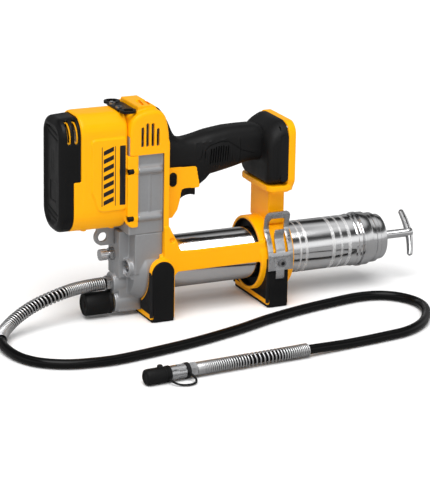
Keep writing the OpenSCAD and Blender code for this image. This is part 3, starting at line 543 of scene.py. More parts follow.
MATERIALS = {
    "yellow": yellow_nylon(),
    "grip": dark_moulding("soft_grip", rough=0.46, tone=0.008, grain=1700, relief=0.35),
    "black": dark_moulding("black_nylon", rough=0.34, tone=0.006, grain=2200, relief=0.18),
    "rubber": dark_moulding("black_rubber", rough=0.5, tone=0.006, grain=1100, relief=0.3),
    "hose": dark_moulding("hose_rubber", rough=0.2, tone=0.004, grain=500, relief=0.1),
    "cast": cast_aluminium(),
    "chrome": barrel_plate(),
    "rod": plated("rod_plate", stretch=(1, 20, 20), rough=0.16, tone=0.6),
    "cap": plated("cap_plate", stretch=(14, 1, 1), rough=0.16, tone=0.62),
    "zinc": bare_metal("zinc_steel", (0.5, 0.505, 0.515), rough=0.28),
    "spring": bare_metal("spring_wire", (0.5, 0.5, 0.5), rough=0.34),
    "clip": bare_metal("galvanised", (0.42, 0.425, 0.435), rough=0.3),
    "steel": bare_metal("ground_steel", (0.5, 0.51, 0.53), rough=0.32),
    "blackox": bare_metal("black_oxide", (0.05, 0.05, 0.055), rough=0.38),
    "brass": bare_metal("brass", (0.72, 0.52, 0.22), rough=0.3),
    "copper": bare_metal("winding_core", (0.5, 0.25, 0.12), rough=0.4, stretch=(1, 20, 20)),
    "board": board_lacquer(),
    "vent": dark_moulding("vent_inside", rough=0.5, tone=0.02, grain=900, relief=0.1),
}


def finish(ob, material, body, *nodes, angle=40):
    """Gives a piece its material and shading, its moving body and the nodes it replaces."""
    mesh = ob.data
    mesh.materials.clear()
    mesh.materials.append(MATERIALS[material].material)
    mesh.shade_smooth()
    mesh.set_sharp_from_angle(angle=math.radians(angle))
    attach(ob, body)
    if nodes:
        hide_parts(*nodes)


def finish_halves(ob, stem, material, angle=40):
    """Parts a solid at the middle plane, leaving a fine seam, and finishes both halves."""
    for side, word in zip(SIDES, ("left", "right")):
        half = ob.copy()
        half.data = ob.data.copy()
        half.name = f"{stem}_{word}_moulding"
        SC.collection.objects.link(half)
        boolean(half, box(-200, 400, *span(side, 0.03, 100), -10, 300), "INTERSECT")
        finish(half, material, "tool", f"{stem}_{word}", angle=angle)
    bpy.data.objects.remove(ob, do_unlink=True)


# ------------------------------------------------------------------ motor end
# (x, inset) stations of the outer forms
HOUSING_STATIONS = [(-89.0, 2.6), (-88.6, 1.4), (-87.6, 0.5), (-86.0, 0.1), (-84, 0.0),
                    (-60, 0.0), (-38.5, 0.0), (-36.4, 0.5), (-36.1, 1.2)]
HOUSING_FOOT_STATIONS = [(-96.9, 0.35), (-90, 0.3), (-84, 0.3)]
END_CAP_STATIONS = [(-89.05, 0.5), (-106, 0.5), (-108.5, 1.4), (-110.4, 3.4), (-111.7, 6.2),
                    (-112.0, 8.2), (-111.6, 9.8), (-110.6, 10.8), (-109.6, 11.4), (-109.4, 13)]
HOUSING_WAIST, CAP_WAIST = 0.02, 0.05   # share of the width drawn in at mid height
HOUSING_TOP, CAP_TOP = 231.0, 228.0
HOUSING_WALL = 2.6
CAP_VENT_XS = (-104.0, -96.0)
CAP_VENT_WIDTH = 3.9
PANEL_Y = -31.2                         # face of the raised panel on the -Y side


def motor_ring(x, inset, waist=HOUSING_WAIST, top=HOUSING_TOP):
    """Section of the motor housing at x."""
    d = inset
    section = round_rect(-29 + d, 29 - d, 102 + d, top - d, max(2, 20 - d), 8, max(2, 25 - d))
    return [(x, y * (1 - waist * math.exp(-((z - 172) / 26.0) ** 2)), z) for y, z in section]


def cap_loft(stations, name="part"):
    return loft([motor_ring(x, d, CAP_WAIST, CAP_TOP) for x, d in stations], name)


def housing_collar(side):
    """Lip on one side that laps the gear case, with a boss at each screw."""
    lip = prism(rounded([(-38.4, 112), (-38.4, 185.8), (-26, 185.8), (-26, 107), (-33.5, 107),
                         (-36.6, 108.6)], [1, 0, 0, 2, 3, 2]), "Y", *span(side, 26, 35))
    for z in SCREW_ZS:
        union(lip, cylinder("X", -35.9, -26.05, 4.3, side * BOSS_Y, z))
    return lip


def motor_housing():
    ob = loft([motor_ring(x, d) for x, d in HOUSING_STATIONS], "motor_housing_shell")
    foot = loft([motor_ring(x, d) for x, d in HOUSING_FOOT_STATIONS])
    boolean(foot, box(-100, -80, -40, 40, 90, 161.5), "INTERSECT")
    union(ob, foot)
    panel = prism(rounded([(-78, 149), (-78, 206), (-38, 206), (-38, 127), (-70, 127),
                           (-74, 141)], [6, 5, 3, 5, 8, 10]), "Y", PANEL_Y, -27)
    union(ob, bevel(panel, 0.9))
    cut(ob, loft([motor_ring(x, HOUSING_WALL) for x in (-98, -40)]))
    # openings on the motor axis and low down, towards the gear case
    cut(ob, cylinder("X", -42, -30, 12.1, 0, MOTOR_Z), cylinder("X", -42, -30, 6, 0, 118))
    collar = union(*[housing_collar(side) for side in SIDES])
    cut(collar, prism(rect(-32.15, 32.15, 90, 240), "X", -36, -20))
    union(ob, collar)
    for side in SIDES:
        for z in SCREW_ZS:
            y = side * SCREW_Y
            cut(ob, cylinder("X", -46, -30.9, 3.8, y, z), cylinder("X", -46, -25, 2.1, y, z))
    for y in STRAP_SCREW_YS:
        cut(ob, cylinder("Z", 224, 240, 2.1, STRAP_SCREW_X, y))
    posts = [cylinder("Z", 103, 111.9, 3, x, y) for x in (-80, -48) for y in (-12, 12)]
    soften(ob, 0.8, 3, 0.4)
    union(ob, *posts)
    finish(ob, "yellow", "tool", "motor_housing")


def vent_liner():
    """Yellow lining seen through the upper vents on the -Y side."""
    ob = cap_loft([(-106.2, 3.3), (-90.5, 3.3)], "vent_liner")
    cut(ob, cap_loft([(-108, 4.3), (-88, 4.3)]))
    for vent_x in CAP_VENT_XS:
        x0, x1 = vent_x + 1.0, vent_x + 2.9
        cut(ob, prism(rounded(rect(x0, x1, 204.5, 224), 0.9), "Y", -40, -14),
            prism(rounded([(-26, 206), (-26, 240), (-15.4, 240), (-15.4, 218)], 2), "X", x0, x1))
    boolean(ob, box(-110, -85, -40, 0, 195, 230), "INTERSECT")
    finish(ob, "yellow", "tool")


def motor_end_cap():
    # the open rim stands 1 mm taller than the rest
    ob = loft([motor_ring(x, d, CAP_WAIST, CAP_TOP if x < -90 else CAP_TOP + 1)
               for x, d in END_CAP_STATIONS], "motor_end_cap_shell")
    cut(ob, cap_loft([(-107.2, 3.1), (-80, 3.1)]))
    cut(ob, box(-97.1, -80, -40, 40, 90, 161.8))
    # sloping grooves, upright slot with a raised bar, and a square pocket in the end face
    cut(ob, *[prism([(-15, z), (15, z + 6), (15, z + 8.6), (-15, z + 2.6)], "X", -112, -108.4)
              for z in (203, 209, 115, 121)])
    cut(ob, box(-113, -108.4, -3.4, 3.4, 171, 193))
    union(ob, box(-109.4, -108.2, -2.2, 2.2, 172.3, 191.7))
    cut(ob, box(-113, -108.6, -9, 9, 136, 158))
    for x0 in CAP_VENT_XS:
        x1 = x0 + CAP_VENT_WIDTH
        cut(ob, prism(rounded(rect(x0, x1, 203, 224), 1.8), "Y", -40, -16),
            prism(rounded([(-27, 205), (-27, 240), (-14, 240), (-14, 218)], 3), "X", x0, x1))
    soften(ob, 0.75, 2, 0.45)
    vent_liner()
    finish(ob, "black", "tool", "motor_end_cap")


def label():
    """Plain printed stripes on the side panel, no lettering."""
    depth = (PANEL_Y - 0.12, PANEL_Y + 0.1)
    z0, z1 = 133, 198
    bar = prism(rounded(rect(-46.2, -39.6, z0, z1), 0.6), "Y", *depth, "label_bar")
    finish(bar, "black", "tool")
    for i, (x0, x1) in enumerate(((-66.8, -66.0), (-51.6, -50.8))):
        line = prism(rect(x0, x1, z0, z1), "Y", *depth, f"label_line_{i}")
        finish(line, "black", "tool")
    for i in range(7):
        z = 134 + i * 9.1
        stripe = [(-64.6, z), (-53, z + 4.4), (-53, z + 9.2), (-64.6, z + 4.8)]
        finish(prism(stripe, "Y", *depth, f"label_stripe_{i}"), "black", "tool")


# ------------------------------------------------------------------ castings
# (x0, x1, z0, z1) of the sunk panels in each side of the gear case
CASE_PANELS = ((-24.6, -12.6, 121.5, 163.6), (-10.8, 2.4, 121.5, 163.6),
               (-24.6, 2.4, 173.6, 185))


def cut_vent_slots(ob, half_width, bottom, rise, depth):
    """Upright slots in both sides; depth is (near, far) from the middle plane."""
    for x, top in VENT_SLOTS:
        for side in SIDES:
            slot = round_rect(x - half_width, x + half_width, bottom, top + rise, 1.6)
            cut(ob, prism(slot, "Y", *span(side, *depth)))


def gear_case():
    ob = from_cad("gear_case_casting", "gear_case")
    boss_x = -0.8
    for side in SIDES:
        cut(ob, *[prism(rounded(rect(*panel), 1.2), "Y", *span(side, 31.3, 33))
                  for panel in CASE_PANELS])
        for z in SCREW_ZS:
            cut(ob, box(boss_x, 3.4, *span(side, 32.02, 40), z - 5, z + 5))
            union(ob, ball((boss_x, side * BOSS_Y, z), 4.0))
    soften(ob, 0.75, 2, 0.4)
    cut_vent_slots(ob, half_width=2.2, bottom=194, rise=0.6, depth=(26, 36))
    finish(ob, "cast", "tool", "gear_case")


def pump_head():
    ob = from_cad("pump_head_casting", "pump_head")
    soften(ob, 0.75, 3, 0.4)
    finish(ob, "cast", "tool", "pump_head")


# ------------------------------------------------------------------ frame shells
ARCH_X, ARCH_Z, ARCH_R = 0.5, 54.8, 14.2   # centre and radius of the arch over the front foot
WEB_DROPS = {-1: 0, 1: -17.7}              # height of each side's web against the -Y one


def side_web(side):
    """Plate on one side, joining the frame to the ring round the barrel."""
    dz = WEB_DROPS[side]
    points = [(122, 75 + dz), (100, 74 + dz), (100, 54 + dz), (118, 52.7 + dz), (123, 44 + dz),
              (124, 80 + dz)]
    return prism(rounded(points, [6, 0, 0, 6, 4, 2]), "Y", *span(side, 34.4, 37.8))


def frame_shells():
    """Both halves are worked as one and parted again at the seam."""
    ob = from_cad("frame_a", "frame_shell_left")
    other = from_cad("frame_b", "frame_shell_right")
    union(ob, box(4.5, 7, -1, 1, 90, 95))
    union(ob, other)
    for side in SIDES:
        union(ob, side_web(side))
    cut(ob, *[box(-0.6, 3.66, *span(side, 34.2, 38.4), 70, 106) for side in SIDES])
    cut(ob, cylinder("Y", -42, -35.2, 3.0, 12.6, 89))
    quarter = [(ARCH_X - ARCH_R * math.cos(math.radians(a)),
                ARCH_Z + ARCH_R * math.sin(math.radians(a))) for a in range(0, 88, 6)]
    arch = [(-15.5, ARCH_Z)] + quarter + [(-0.3, 69.0), (-0.3, 110), (-15.5, 110)]
    for side in SIDES:
        cut(ob, prism(arch, "Y", *span(side, 16, 45)))
    soften(ob, 0.85, 2, 0.35)
    # seat for the ring seal, spared where the webs stand
    seat = cylinder("X", 117.5, 123.9, 38.0, *BARREL_AXIS, 96)
    cut(seat, box(117, 125, -40, -33.5, 49, 79), box(117, 125, 33.5, 40, 31, 61))
    cut(ob, seat)
    cut_vent_slots(ob, half_width=1.75, bottom=194.4, rise=0.3, depth=(28, 42))
    # slanting slots in the top
    for x in (-14, -7):
        cut(ob, prism([(x - 2.2, -19), (x + 0.4, -19), (x + 4.6, 3), (x + 2.0, 3)],
                      "Z", 232.6, 240))
    finish_halves(ob, "frame_shell", "yellow")


# ------------------------------------------------------------------ grip
# (x, z) along the top and the underside of the handle
GRIP_TOP = [(10.1, 200), (16, 199), (23.2, 197), (30, 193.6), (37.5, 191.2), (50, 193.2),
            (67, 197), (88.6, 199.9), (105, 200.3), (116, 200.2), (123, 200), (128, 198)]
GRIP_BOTTOM = [(10.1, 150.2), (33.5, 150.2), (38, 149.5), (50, 143), (57, 143.6), (67, 149),
               (80, 151.5), (92.7, 154.1), (105, 157.2), (113.9, 159.5), (120, 160), (128, 159)]
GRIP_X0, GRIP_X1 = 10.1, 128
GRIP_HALF = 17.8
GRIP_SQUARENESS = 0.62    # exponent of the section: 1 is an ellipse, 0 a rectangle
BLOCK_TOP_X = [126, 128, 131, 135, 140, 144]
BLOCK_TOP_Z = [193, 195.6, 198.4, 201.4, 204.2, 206]
# (x, inset) stations of the block at the +X end of the handle
BLOCK_STATIONS = [(126.0, 6.5), (126.4, 4.6), (127.6, 2.6), (129.6, 1.1), (132, 0.3),
                  (136, 0.05), (140, 0.05), (144, 0.05), (149.0, 0.05)]
# (x, half width, bottom, top) of the hollow in the block
BLOCK_HOLLOW = ((130.2, 31, 142, 190), (141, 34.6, 139.5, 202), (152, 34.6, 139.5, 202))
# web that rises at the -X end: (x, z, corner radius)
TAIL = [(10.1, 190, 0), (10.1, 200, 0), (9.9, 206, 0), (8.4, 216.4, 0), (6.6, 224.4, 0),
        (4.2, 228.8, 0), (3.4, 230.2, 0), (5, 230.4, 0), (8.6, 226.4, 2), (12.4, 221, 3),
        (16.3, 213.8, 3), (19.6, 205.8, 3), (22, 201, 3), (25, 197, 3), (30, 193, 0),
        (30, 188, 0)]
# lip under the handle, behind the trigger: (x, z, corner radius)
LOWER_LIP = [(33, 152, 0), (32.5, 141, 1), (46, 139.5, 0), (52.4, 138.3, 1.2), (54, 141.5, 3),
             (61, 146.5, 3), (66, 152, 0)]
HOLLOW = [(14, 153), (36, 153), (58, 152), (92, 158), (124, 166), (124, 192), (70, 189),
          (40, 184), (14, 188)]
GRIP_SCREWS = ((98, 178), (30, 176))   # (x, z)
SEAMS = [[(40, 166.5), (49.3, 167.6), (54, 170.5), (55.6, 176), (56.6, 184), (60, 189),
          (66, 191.5)],
         [(58.6, 170), (59.1, 179.4), (65, 184.1), (76.7, 187.2), (86.5, 186.6), (94.4, 181.6),
          (102.2, 175.7), (117.8, 170.7)]]


def smooth_height(path, x):
    """Height of a path at x, averaged over its neighbourhood."""
    xs, zs = zip(*path)
    reach = 2.5
    weights = ((-1.5, 1), (-0.75, 2), (0, 3), (0.75, 2), (1.5, 1))
    return sum(float(np.interp(x + d * reach, xs, zs)) * k for d, k in weights) / 9.0


def palm_relief(x, z):
    """How far the side of the handle stands out: a ribbed patch and a line round it."""
    relief = 0.0
    u = (x - 74) / 21.0
    rise = z - (170 + 0.06 * (x - 60))
    v = rise / (13.5 - 4 * abs(u))
    if abs(u) < 1 and abs(v) < 1:
        edge = min(1, (1 - abs(u)) * 5) * min(1, (1 - abs(v)) * 5)
        relief = 0.75 * edge * (0.5 + 0.5 * math.cos(2 * math.pi * x / 3.0)) + 0.25 * edge
    q = max(abs(u) / 1.22, abs(rise / 18.0))
    if 0.94 < q < 1.04 and abs(u) < 1.35:
        relief += 0.8 * (1 - abs(q - 0.99) / 0.05)
    return relief


def grip_solid():
    rings = []
    for x in np.linspace(GRIP_X0, GRIP_X1, 150):
        top, bottom = smooth_height(GRIP_TOP, x), smooth_height(GRIP_BOTTOM, x)
        half = (GRIP_HALF - 1.6 * math.exp(-((x - 40) / 14) ** 2)
                + 0.8 * math.exp(-((x - 75) / 18) ** 2))
        middle, half_height = (top + bottom) / 2, (top - bottom) / 2
        ring = []
        for k in range(72):
            turn = 2 * math.pi * k / 72
            c, s = math.cos(turn), math.sin(turn)
            y = half * math.copysign(abs(c) ** GRIP_SQUARENESS, c)
            z = middle + half_height * math.copysign(abs(s) ** GRIP_SQUARENESS, s)
            if abs(y) > 0.72 * half:
                y += math.copysign(palm_relief(x, z), y)
            ring.append((x, y, z))
        rings.append(ring)
    return loft(rings, "grip_handle")


def block_ring(x, inset):
    d = inset
    top = float(np.interp(x, BLOCK_TOP_X, BLOCK_TOP_Z))
    section = round_rect(-38 + d, 38 - d, 136.3 + d, top - d, max(2, 20 - d), 8, max(2, 13 - d))
    return [(x, y, z) for y, z in section]


def grip_block():
    """Wide block over the barrel ring, with flutes and a raised pad on each side."""
    ob = loft([block_ring(x, d) for x, d in BLOCK_STATIONS])
    for side in SIDES:
        cut(ob, cylinder("Z", 130, 210, 2.0, 136.5, side * 39.4),
            cylinder("Z", 130, 210, 1.8, 131.6, side * 39.0))
        union(ob, prism(rounded(rect(140.2, 148.9, 141, 193), 3.4), "Y", *span(side, 35, 38)))
    return ob


def bevelled_plate(table, half, width, *bevel_args):
    """Plate across the middle plane from an (x, z, corner radius) table."""
    plate = prism(rounded([(x, z) for x, z, _ in table], [r for _, _, r in table]),
                  "Y", -half, half)
    return bevel(plate, width, *bevel_args)


def cut_grip_sides(ob):
    """Moulded seams and a row of slanting grooves on both sides."""
    for side in SIDES:
        depth = span(side, 16.9, 30)
        for seam in SEAMS:
            cut(ob, strip(seam, "Y", *depth, 0.9))
        for k in range(8):
            x = 64 + 2.9 * k
            z0, z1 = 163.5 + 0.25 * k, 180.5 + 0.25 * k + (1.5 if 1 < k < 6 else 0)
            groove = [(x, z0), (x + 1.3, z0), (x + 2.6, z1), (x + 1.3, z1)]
            cut(ob, prism(rounded(groove, 0.4), "Y", *depth))


def grips():
    ob = grip_solid()
    union(ob, grip_block())
    union(ob, bevelled_plate(TAIL, 14, 1.2, 3, 50))
    union(ob, bevelled_plate(LOWER_LIP, 15.5, 2.2, 4))
    root = [(GRIP_X0, 150.2, 0), (18, 150.2, 1), (18, 200, 3), (GRIP_X0, 200, 0)]
    union(ob, bevelled_plate(root, GRIP_HALF, 1.0, 2))
    # hollows of handle and block, the passage between them, and the trigger opening
    block_hollow = [[(x, y, z) for y, z in round_rect(-half, half, z0, z1, 9, 8)]
                    for x, half, z0, z1 in BLOCK_HOLLOW]
    cut(ob, prism(rounded(HOLLOW, 3), "Y", -13.5, 13.5), loft(block_hollow),
        box(118, 132, -12, 12, 166, 188), box(27, 53, -8.3, 8.3, 120, 158))
    # opening for the lock button
    cut(ob, prism(round_rect(16.2, 25.0, 143.1, 158.5, 4.3), "Y", -50, 50))
    union(ob, *[cylinder("Y", -15, 15, 4.6, x, z) for x, z in GRIP_SCREWS])
    for x, z in GRIP_SCREWS:
        cut(ob, cylinder("Y", 13.9, 40, 3.7, x, z), cylinder("Y", -10.4, 18, 2.05, x, z))
    cut_grip_sides(ob)
    finish_halves(ob, "grip_shell", "grip", angle=35)


def trigger():
    """Curved paddle."""
    profile = [(28.2, 121.0), (29.6, 132), (33, 146), (50, 147.4), (52, 136), (52, 128.6),
               (50.6, 127.9)] + arc(45.0, 112.6, 16.4, 68, 138, 10)
    ob = bevel(prism(profile, "Y", -7.6, 7.6, "trigger_paddle"), 1.0)
    finish(ob, "grip", "trigger_key", "trigger")


def lock_button():
    ob = prism(round_rect(16.4, 24.8, 143.3, 158.3, 4.1, 8), "Y", -20.4, 20.4,
               "lock_button_cap")
    bevel(ob, 0.9)
    for side in SIDES:
        for i in range(3):
            cut(ob, box(17.3, 23.9, *span(side, 19.9, 21), 147 + i * 3.4, 147.9 + i * 3.4))
    finish(ob, "black", "lock", "lock_button")


# ------------------------------------------------------------------ feet
def foot_pad(name, node, middle_x, half, top):
    """Rubber boot: round-topped cheeks on both sides, a face towards -X and a sole."""
    x0, x1 = middle_x - half, middle_x + half
    spring = top - half       # where the round top starts
    ob = from_cad(name, node)
    boolean(ob, box(x0 - 9, x0 - 0.05, -44, 44, 5, 60), "INTERSECT")
    cheek = (rounded([(x0, 0), (x1, 0), (x1, spring)], [3.2, 3.2, 0])
             + arc(middle_x, spring, half, 5, 175, 34) + [(x0, spring)])
    for side in SIDES:
        union(ob, bevel(prism(cheek, "Y", *span(side, 39.9, 43)), 1.3, 4, 60))
    for side in SIDES:
        edge = box(x0 - 2.1, x0 + 1.6, *span(side, 40.5, 42.8), 5.5, spring - 1.5)
        union(ob, bevel(edge, 0.5, 3, 60))
    union(ob, prism(rounded(rect(x0, x1, 0, 2.9), [2.6, 2.6, 0.3, 0.3]), "Y", -41.5, 41.5))
    if node == "rear_foot_pad":
        cut(ob, cylinder("Y", -60, -30, 2.0, *CLIP_SCREW))
    finish(ob, "rubber", "tool", node, angle=35)


# ------------------------------------------------------------------ barrel
# rolled bead round the tube: (distance along, height)
BEAD = [(-1.9, 0), (-1.7, 0), (-1.5, 0), (-1.0, 0.25), (-0.4, 0.62), (0, 0.7),
        (0.4, 0.62), (1.0, 0.25), (1.5, 0), (1.7, 0), (1.9, 0)]
BEAD_XS = (244, 249)
# end cap: (x, radius over the tube's), from the tube over the rolled grip
END_CAP_SKIRT = [(251.6, 0.12), (251.6, 1.5), (252.0, 1.85), (254.4, 1.85), (254.9, 1.2),
                 (262.6, 1.15), (263.1, 0.9), (263.5, -0.5), (266, -0.6), (266.5, -1.4),
                 (268.5, -1.4), (269.0, -0.7), (273.4, -0.7), (274, -1.2), (274.4, -2.2),
                 (276.0, -2.2)]
# then (x, radius), over the end face and back inside
END_CAP_FACE = [(276.4, 25.6), (281.4, 25.55), (282.5, 25.0), (283.0, 23.8), (283.0, 7.0),
                (280, 7.0), (280, 25), (256.2, 25)]
ROD_PROFILE = [(8, 0), (8, 7.6), (8.4, 8), (11.5, 8), (11.9, 7.6), (11.9, 4.8), (318.5, 4.8),
               (320.5, 5.6), (324.5, 5.6), (326.3, 4.6), (326.4, 0)]
BORE_R = 27.5
HANDLE_X = 322.45
HANDLE_HALF = 27.0
HANDLE_TILT = math.radians(-29.5)   # lean of the T-handle from upright


def barrel_tube():
    r = BARREL_R
    profile = [(0.1, BORE_R), (0.1, r - 0.4), (0.5, r)]
    for x in BEAD_XS:
        profile += [(x + d, r + height) for d, height in BEAD]
    profile += [(255.9, r), (255.9, BORE_R)]
    ob = lathe(profile, BARREL_AXIS, 128, "barrel_tube_plated", closed=True)
    finish(ob, "chrome", "barrel", "barrel_tube", angle=50)


def barrel_end_cap():
    profile = ([(x, BARREL_R + over) for x, over in END_CAP_SKIRT] + END_CAP_FACE
               + [(256.2, BARREL_R + 0.12)])
    ob = lathe(profile, BARREL_AXIS, 128, "barrel_end_cap_pressed", closed=True)
    finish(ob, "cap", "barrel", "barrel_end_cap", angle=35)


def ring_seal():
    inner = BARREL_R + 0.2
    profile = [(118.5, 37.5), (118.5, 36.9), (124.0, 36.4), (124.6, 34.6), (124.2, 31.4),
               (124.8, inner), (157.5, inner), (157.5, 34.05), (124.6, 34.05), (124.5, 37.5)]
    ob = lathe(profile, BARREL_AXIS, 96, "ring_seal_moulded", closed=True)
    # notches clear the webs of the frame
    cut(ob, box(117, 124.45, -39, -34.1, 50, 78), box(117, 124.45, 34.1, 39, 32, 60))
    finish(ob, "rubber", "tool", "barrel_ring_seal", angle=45)


def t_handle():
    """Bar whose ends bow towards the cap, tapered and rounded off."""
    points, radii = [], []
    for k in range(33):
        u = -1 + 2 * k / 32
        along = HANDLE_HALF * u
        points.append((HANDLE_X - 4.6 * u * u, -along * math.sin(HANDLE_TILT),
                       BARREL_Z + along * math.cos(HANDLE_TILT)))
        tip = max(0, (abs(u) - 0.93) / 0.07)
        radii.append(max((4.0 - 0.9 * u * u) * math.sqrt(max(0.0, 1 - tip ** 2)), 1.0))
    finish(tube(points, radii, 24, "t_handle_bar"), "rod", "rod", "t_handle")


def follower_rod():
    ob = lathe(ROD_PROFILE, BARREL_AXIS, 40, "follower_rod_plated")
    finish(ob, "rod", "rod", "follower_rod", angle=35)


# ------------------------------------------------------------------ hose line
HOSE_R = 5.0
COIL_R, WIRE_R = 6.3, 0.9
COIL_STEPS = 20           # points in one turn of a spring guard
LIE = 5.4                 # height of the hose's centre where it lies on the floor
# (x, y, z) points of the hose, from the pump head to the coupler
HOSE = [(-47, 0, 37), (-74, -3, 37), (-100, -8, 35), (-134, -17, 29), (-159, -26, 21),
        (-176, -35, 13), (-187, -49, 8.8), (-192, -70, 6.6), (-188, -102, LIE),
        (-175, -126, LIE), (-151, -142, LIE), (-121, -148, LIE), (-93, -148, LIE),
        (-45, -139, LIE), (4, -127, LIE), (58, -109, LIE), (104, -90, LIE), (150, -75, LIE),
        (193, -65, LIE), (228, -59, LIE), (255, -63, LIE), (274, -79, LIE), (282, -104, LIE),
        (275, -131, LIE), (254, -161, LIE), (226, -180, LIE), (196, -187, LIE),
        (146, -194, LIE), (97, -201, 7.6), (60, -204.5, 7.8), (0, -209, 8), (-38, -212, 8)]
# (start, end, turns) of each stretch, start and end counted in hose points
INNER_COIL = [(0.26, 2.0, 21), (2.0, 6.3, 32)]
OUTER_COIL = [(28.05, 28.35, 5), (28.35, 29.6, 17), (29.6, 30.97, 26)]


def hose_point(u):
    """Catmull-Rom curve through the hose points."""
    last = len(HOSE) - 1
    i = min(int(math.floor(u)), last - 1)
    t = u - i
    a, b, c, d = (np.array(HOSE[max(0, min(last, i + k))], float) for k in (-1, 0, 1, 2))
    return 0.5 * (2 * b + (c - a) * t + (2 * a - 5 * b + 4 * c - d) * t * t
                  + (3 * b - a - 3 * c + d) * t * t * t)


def coil(stretches, name):
    """Wire wound round the hose."""
    points = []
    for start, end, turns in stretches:
        count = int(turns * COIL_STEPS)
        for i in range(count):
            u = start + (end - start) * i / count
            t = hose_point(min(u + 0.02, len(HOSE) - 1)) - hose_point(max(u - 0.02, 0))
            t /= np.linalg.norm(t)
            a = np.cross(t, (0, 0, 1.0))
            a /= np.linalg.norm(a)
            b = np.cross(t, a)
            turn = 2 * math.pi * len(points) / COIL_STEPS
            points.append(hose_point(u) + COIL_R * (a * math.cos(turn) + b * math.sin(turn)))
    return tube(points, WIRE_R, 8, name)


def hose_line():
    count = (len(HOSE) - 1) * 8
    hose = tube([hose_point(i / 8.0) for i in range(count + 1)], HOSE_R, 24, "hose_rubber")
    finish(hose, "hose", "tool", "hose", angle=60)
    for node, stretches in (("spring_guard_inner", INNER_COIL),
                            ("spring_guard_outer", OUTER_COIL)):
        finish(coil(stretches, node + "_coil"), "spring", "tool", node, angle=70)


# ------------------------------------------------------------------ clip
CLIP_X0, CLIP_X1 = 124.5, 154.6
CLIP_ARM_WIDTH = 6.0
SHEET = 1.5
PLATE_Y = -43.95
# (y, z) paths of the bent sheet
CLIP_ARM = [(PLATE_Y, 42.6), (PLATE_Y, 58), (-42.9, 64.5), (-40.2, 71.5), (-36.4, 78),
            (-32.4, 83), (-30.6, 87), (-31.4, 93), (-34.4, 102.6), (-35.2, 106.6)]
CLIP_BAR = [(-31.6, 94.6), (-34.4, 102.6), (-35.2, 106.6)]
CLIP_TONGUE = [(-43.5, 61), (-42.6, 66), (-40.4, 72), (-38.2, 77), (-38, 82), (-40.3, 87.6)]


def clip():
    """One bent sheet: plate, two arms that lean in and out again, bar, tongue and tab."""
    ob = strip(eased(CLIP_ARM), "X", CLIP_X0, CLIP_X0 + CLIP_ARM_WIDTH, SHEET, "arm")
    union(ob, strip(eased(CLIP_ARM), "X", CLIP_X1 - CLIP_ARM_WIDTH, CLIP_X1, SHEET),
          strip(eased(CLIP_BAR), "X", CLIP_X0, CLIP_X1, SHEET),
          strip([(PLATE_Y, 42.6), (PLATE_Y, 58), (-43.3, 62.4)], "X", CLIP_X0, CLIP_X1, SHEET),
          strip(eased(CLIP_TONGUE), "X", 134, 145, 1.4),
          strip([(PLATE_Y, 33), (PLATE_Y, 43.2)], "X", 134, 144, SHEET))
    cut(ob, cylinder("Y", -50, -40, 2.1, *CLIP_SCREW))
    rib = prism(rounded(rect(129.5, 149.5, 57.5, 59.3), 0.8), "Y", -45.2, -44.2)
    union(ob, bevel(rib, 0.4, 2))
    # round off the upper corners, then open the window between the arms
    rim = box(120, 160, -60, -25, 80, 112)
    cut(rim, prism(rounded(rect(CLIP_X0, CLIP_X1, 70, 107.1), [0, 0, 8, 8]), "Y", -61, -24))
    cut(ob, rim)
    cut(ob, prism(rounded(rect(130.4, 148.7, 89.2, 98.6), [0, 0, 4, 4]), "Y", -60, -25))
    bevel(ob, 0.35, 2, 50)
    finish(ob, "clip", "tool", "hose_clip", angle=45)


# ------------------------------------------------------------------ strap bracket, fasteners
STRAP_Z = 231.1
COUPLER_START = (-38, -212, 8.4)
COUPLER_RUN = (-68, -6.1)     # direction of the coupler line in plan
CAP_BODY = [(30.2, 0), (30.2, 8.0), (30.7, 8.4), (33.4, 8.4), (33.9, 7.9), (36, 7.9),
            (36.5, 8.35), (55, 8.35), (57, 7.7), (57.9, 6.4), (57.9, 4.6), (57.2, 4.2),
            (57.2, 0)]
CAP_NUB = [(7.9, 0), (7.9, 3.0), (10.0, 2.9), (10.8, 2.2), (11.0, 0)]
SCREW_PROFILE = [(2.3, 0), (2.3, 1.6), (1.9, 1.88), (-31.0, 1.88), (-31.0, 3.3), (-35.6, 3.3),
                 (-36.6, 2.7), (-37.0, 1.7), (-37.0, 0)]
FILLER_AXIS = (0, 15.5)
FILLER_PROFILE = [(-44.2, 0), (-44.2, 12.3), (-44.7, 12.7), (-46.6, 12.7), (-47.2, 12.3),
                  (-49, 12.3), (-49.6, 12.7), (-73.2, 12.7), (-74.5, 12.1), (-75, 11.0),
                  (-75, 9.4), (-74.3, 8.7), (-74.1, 8.0), (-74.1, 3.6), (-74.7, 3.1),
                  (-74.7, 0)]


def strap():
    """Flat band over the housing with an eye at each side."""
    plan = [(-42.6, -17), (-24.5, -17), (-24.5, 17), (-42.6, 17)]
    ob = prism(rounded(plan, 3), "Z", STRAP_Z, 233.0, "strap_band")
    for side in SIDES:
        union(ob, prism(circle(-33.6, side * 22, 8.9, 56), "Z", STRAP_Z, 233.6))
        cut(ob, prism(circle(-33.6, side * 23.2, 5.4, 40), "Z", 225, 238))
    bevel(ob, 0.55, 3, 40)
    for y in STRAP_SCREW_YS:
        cut(ob, cylinder("Z", 224, 240, 1.95, STRAP_SCREW_X, y))
    finish(ob, "black", "tool", "strap_bracket")


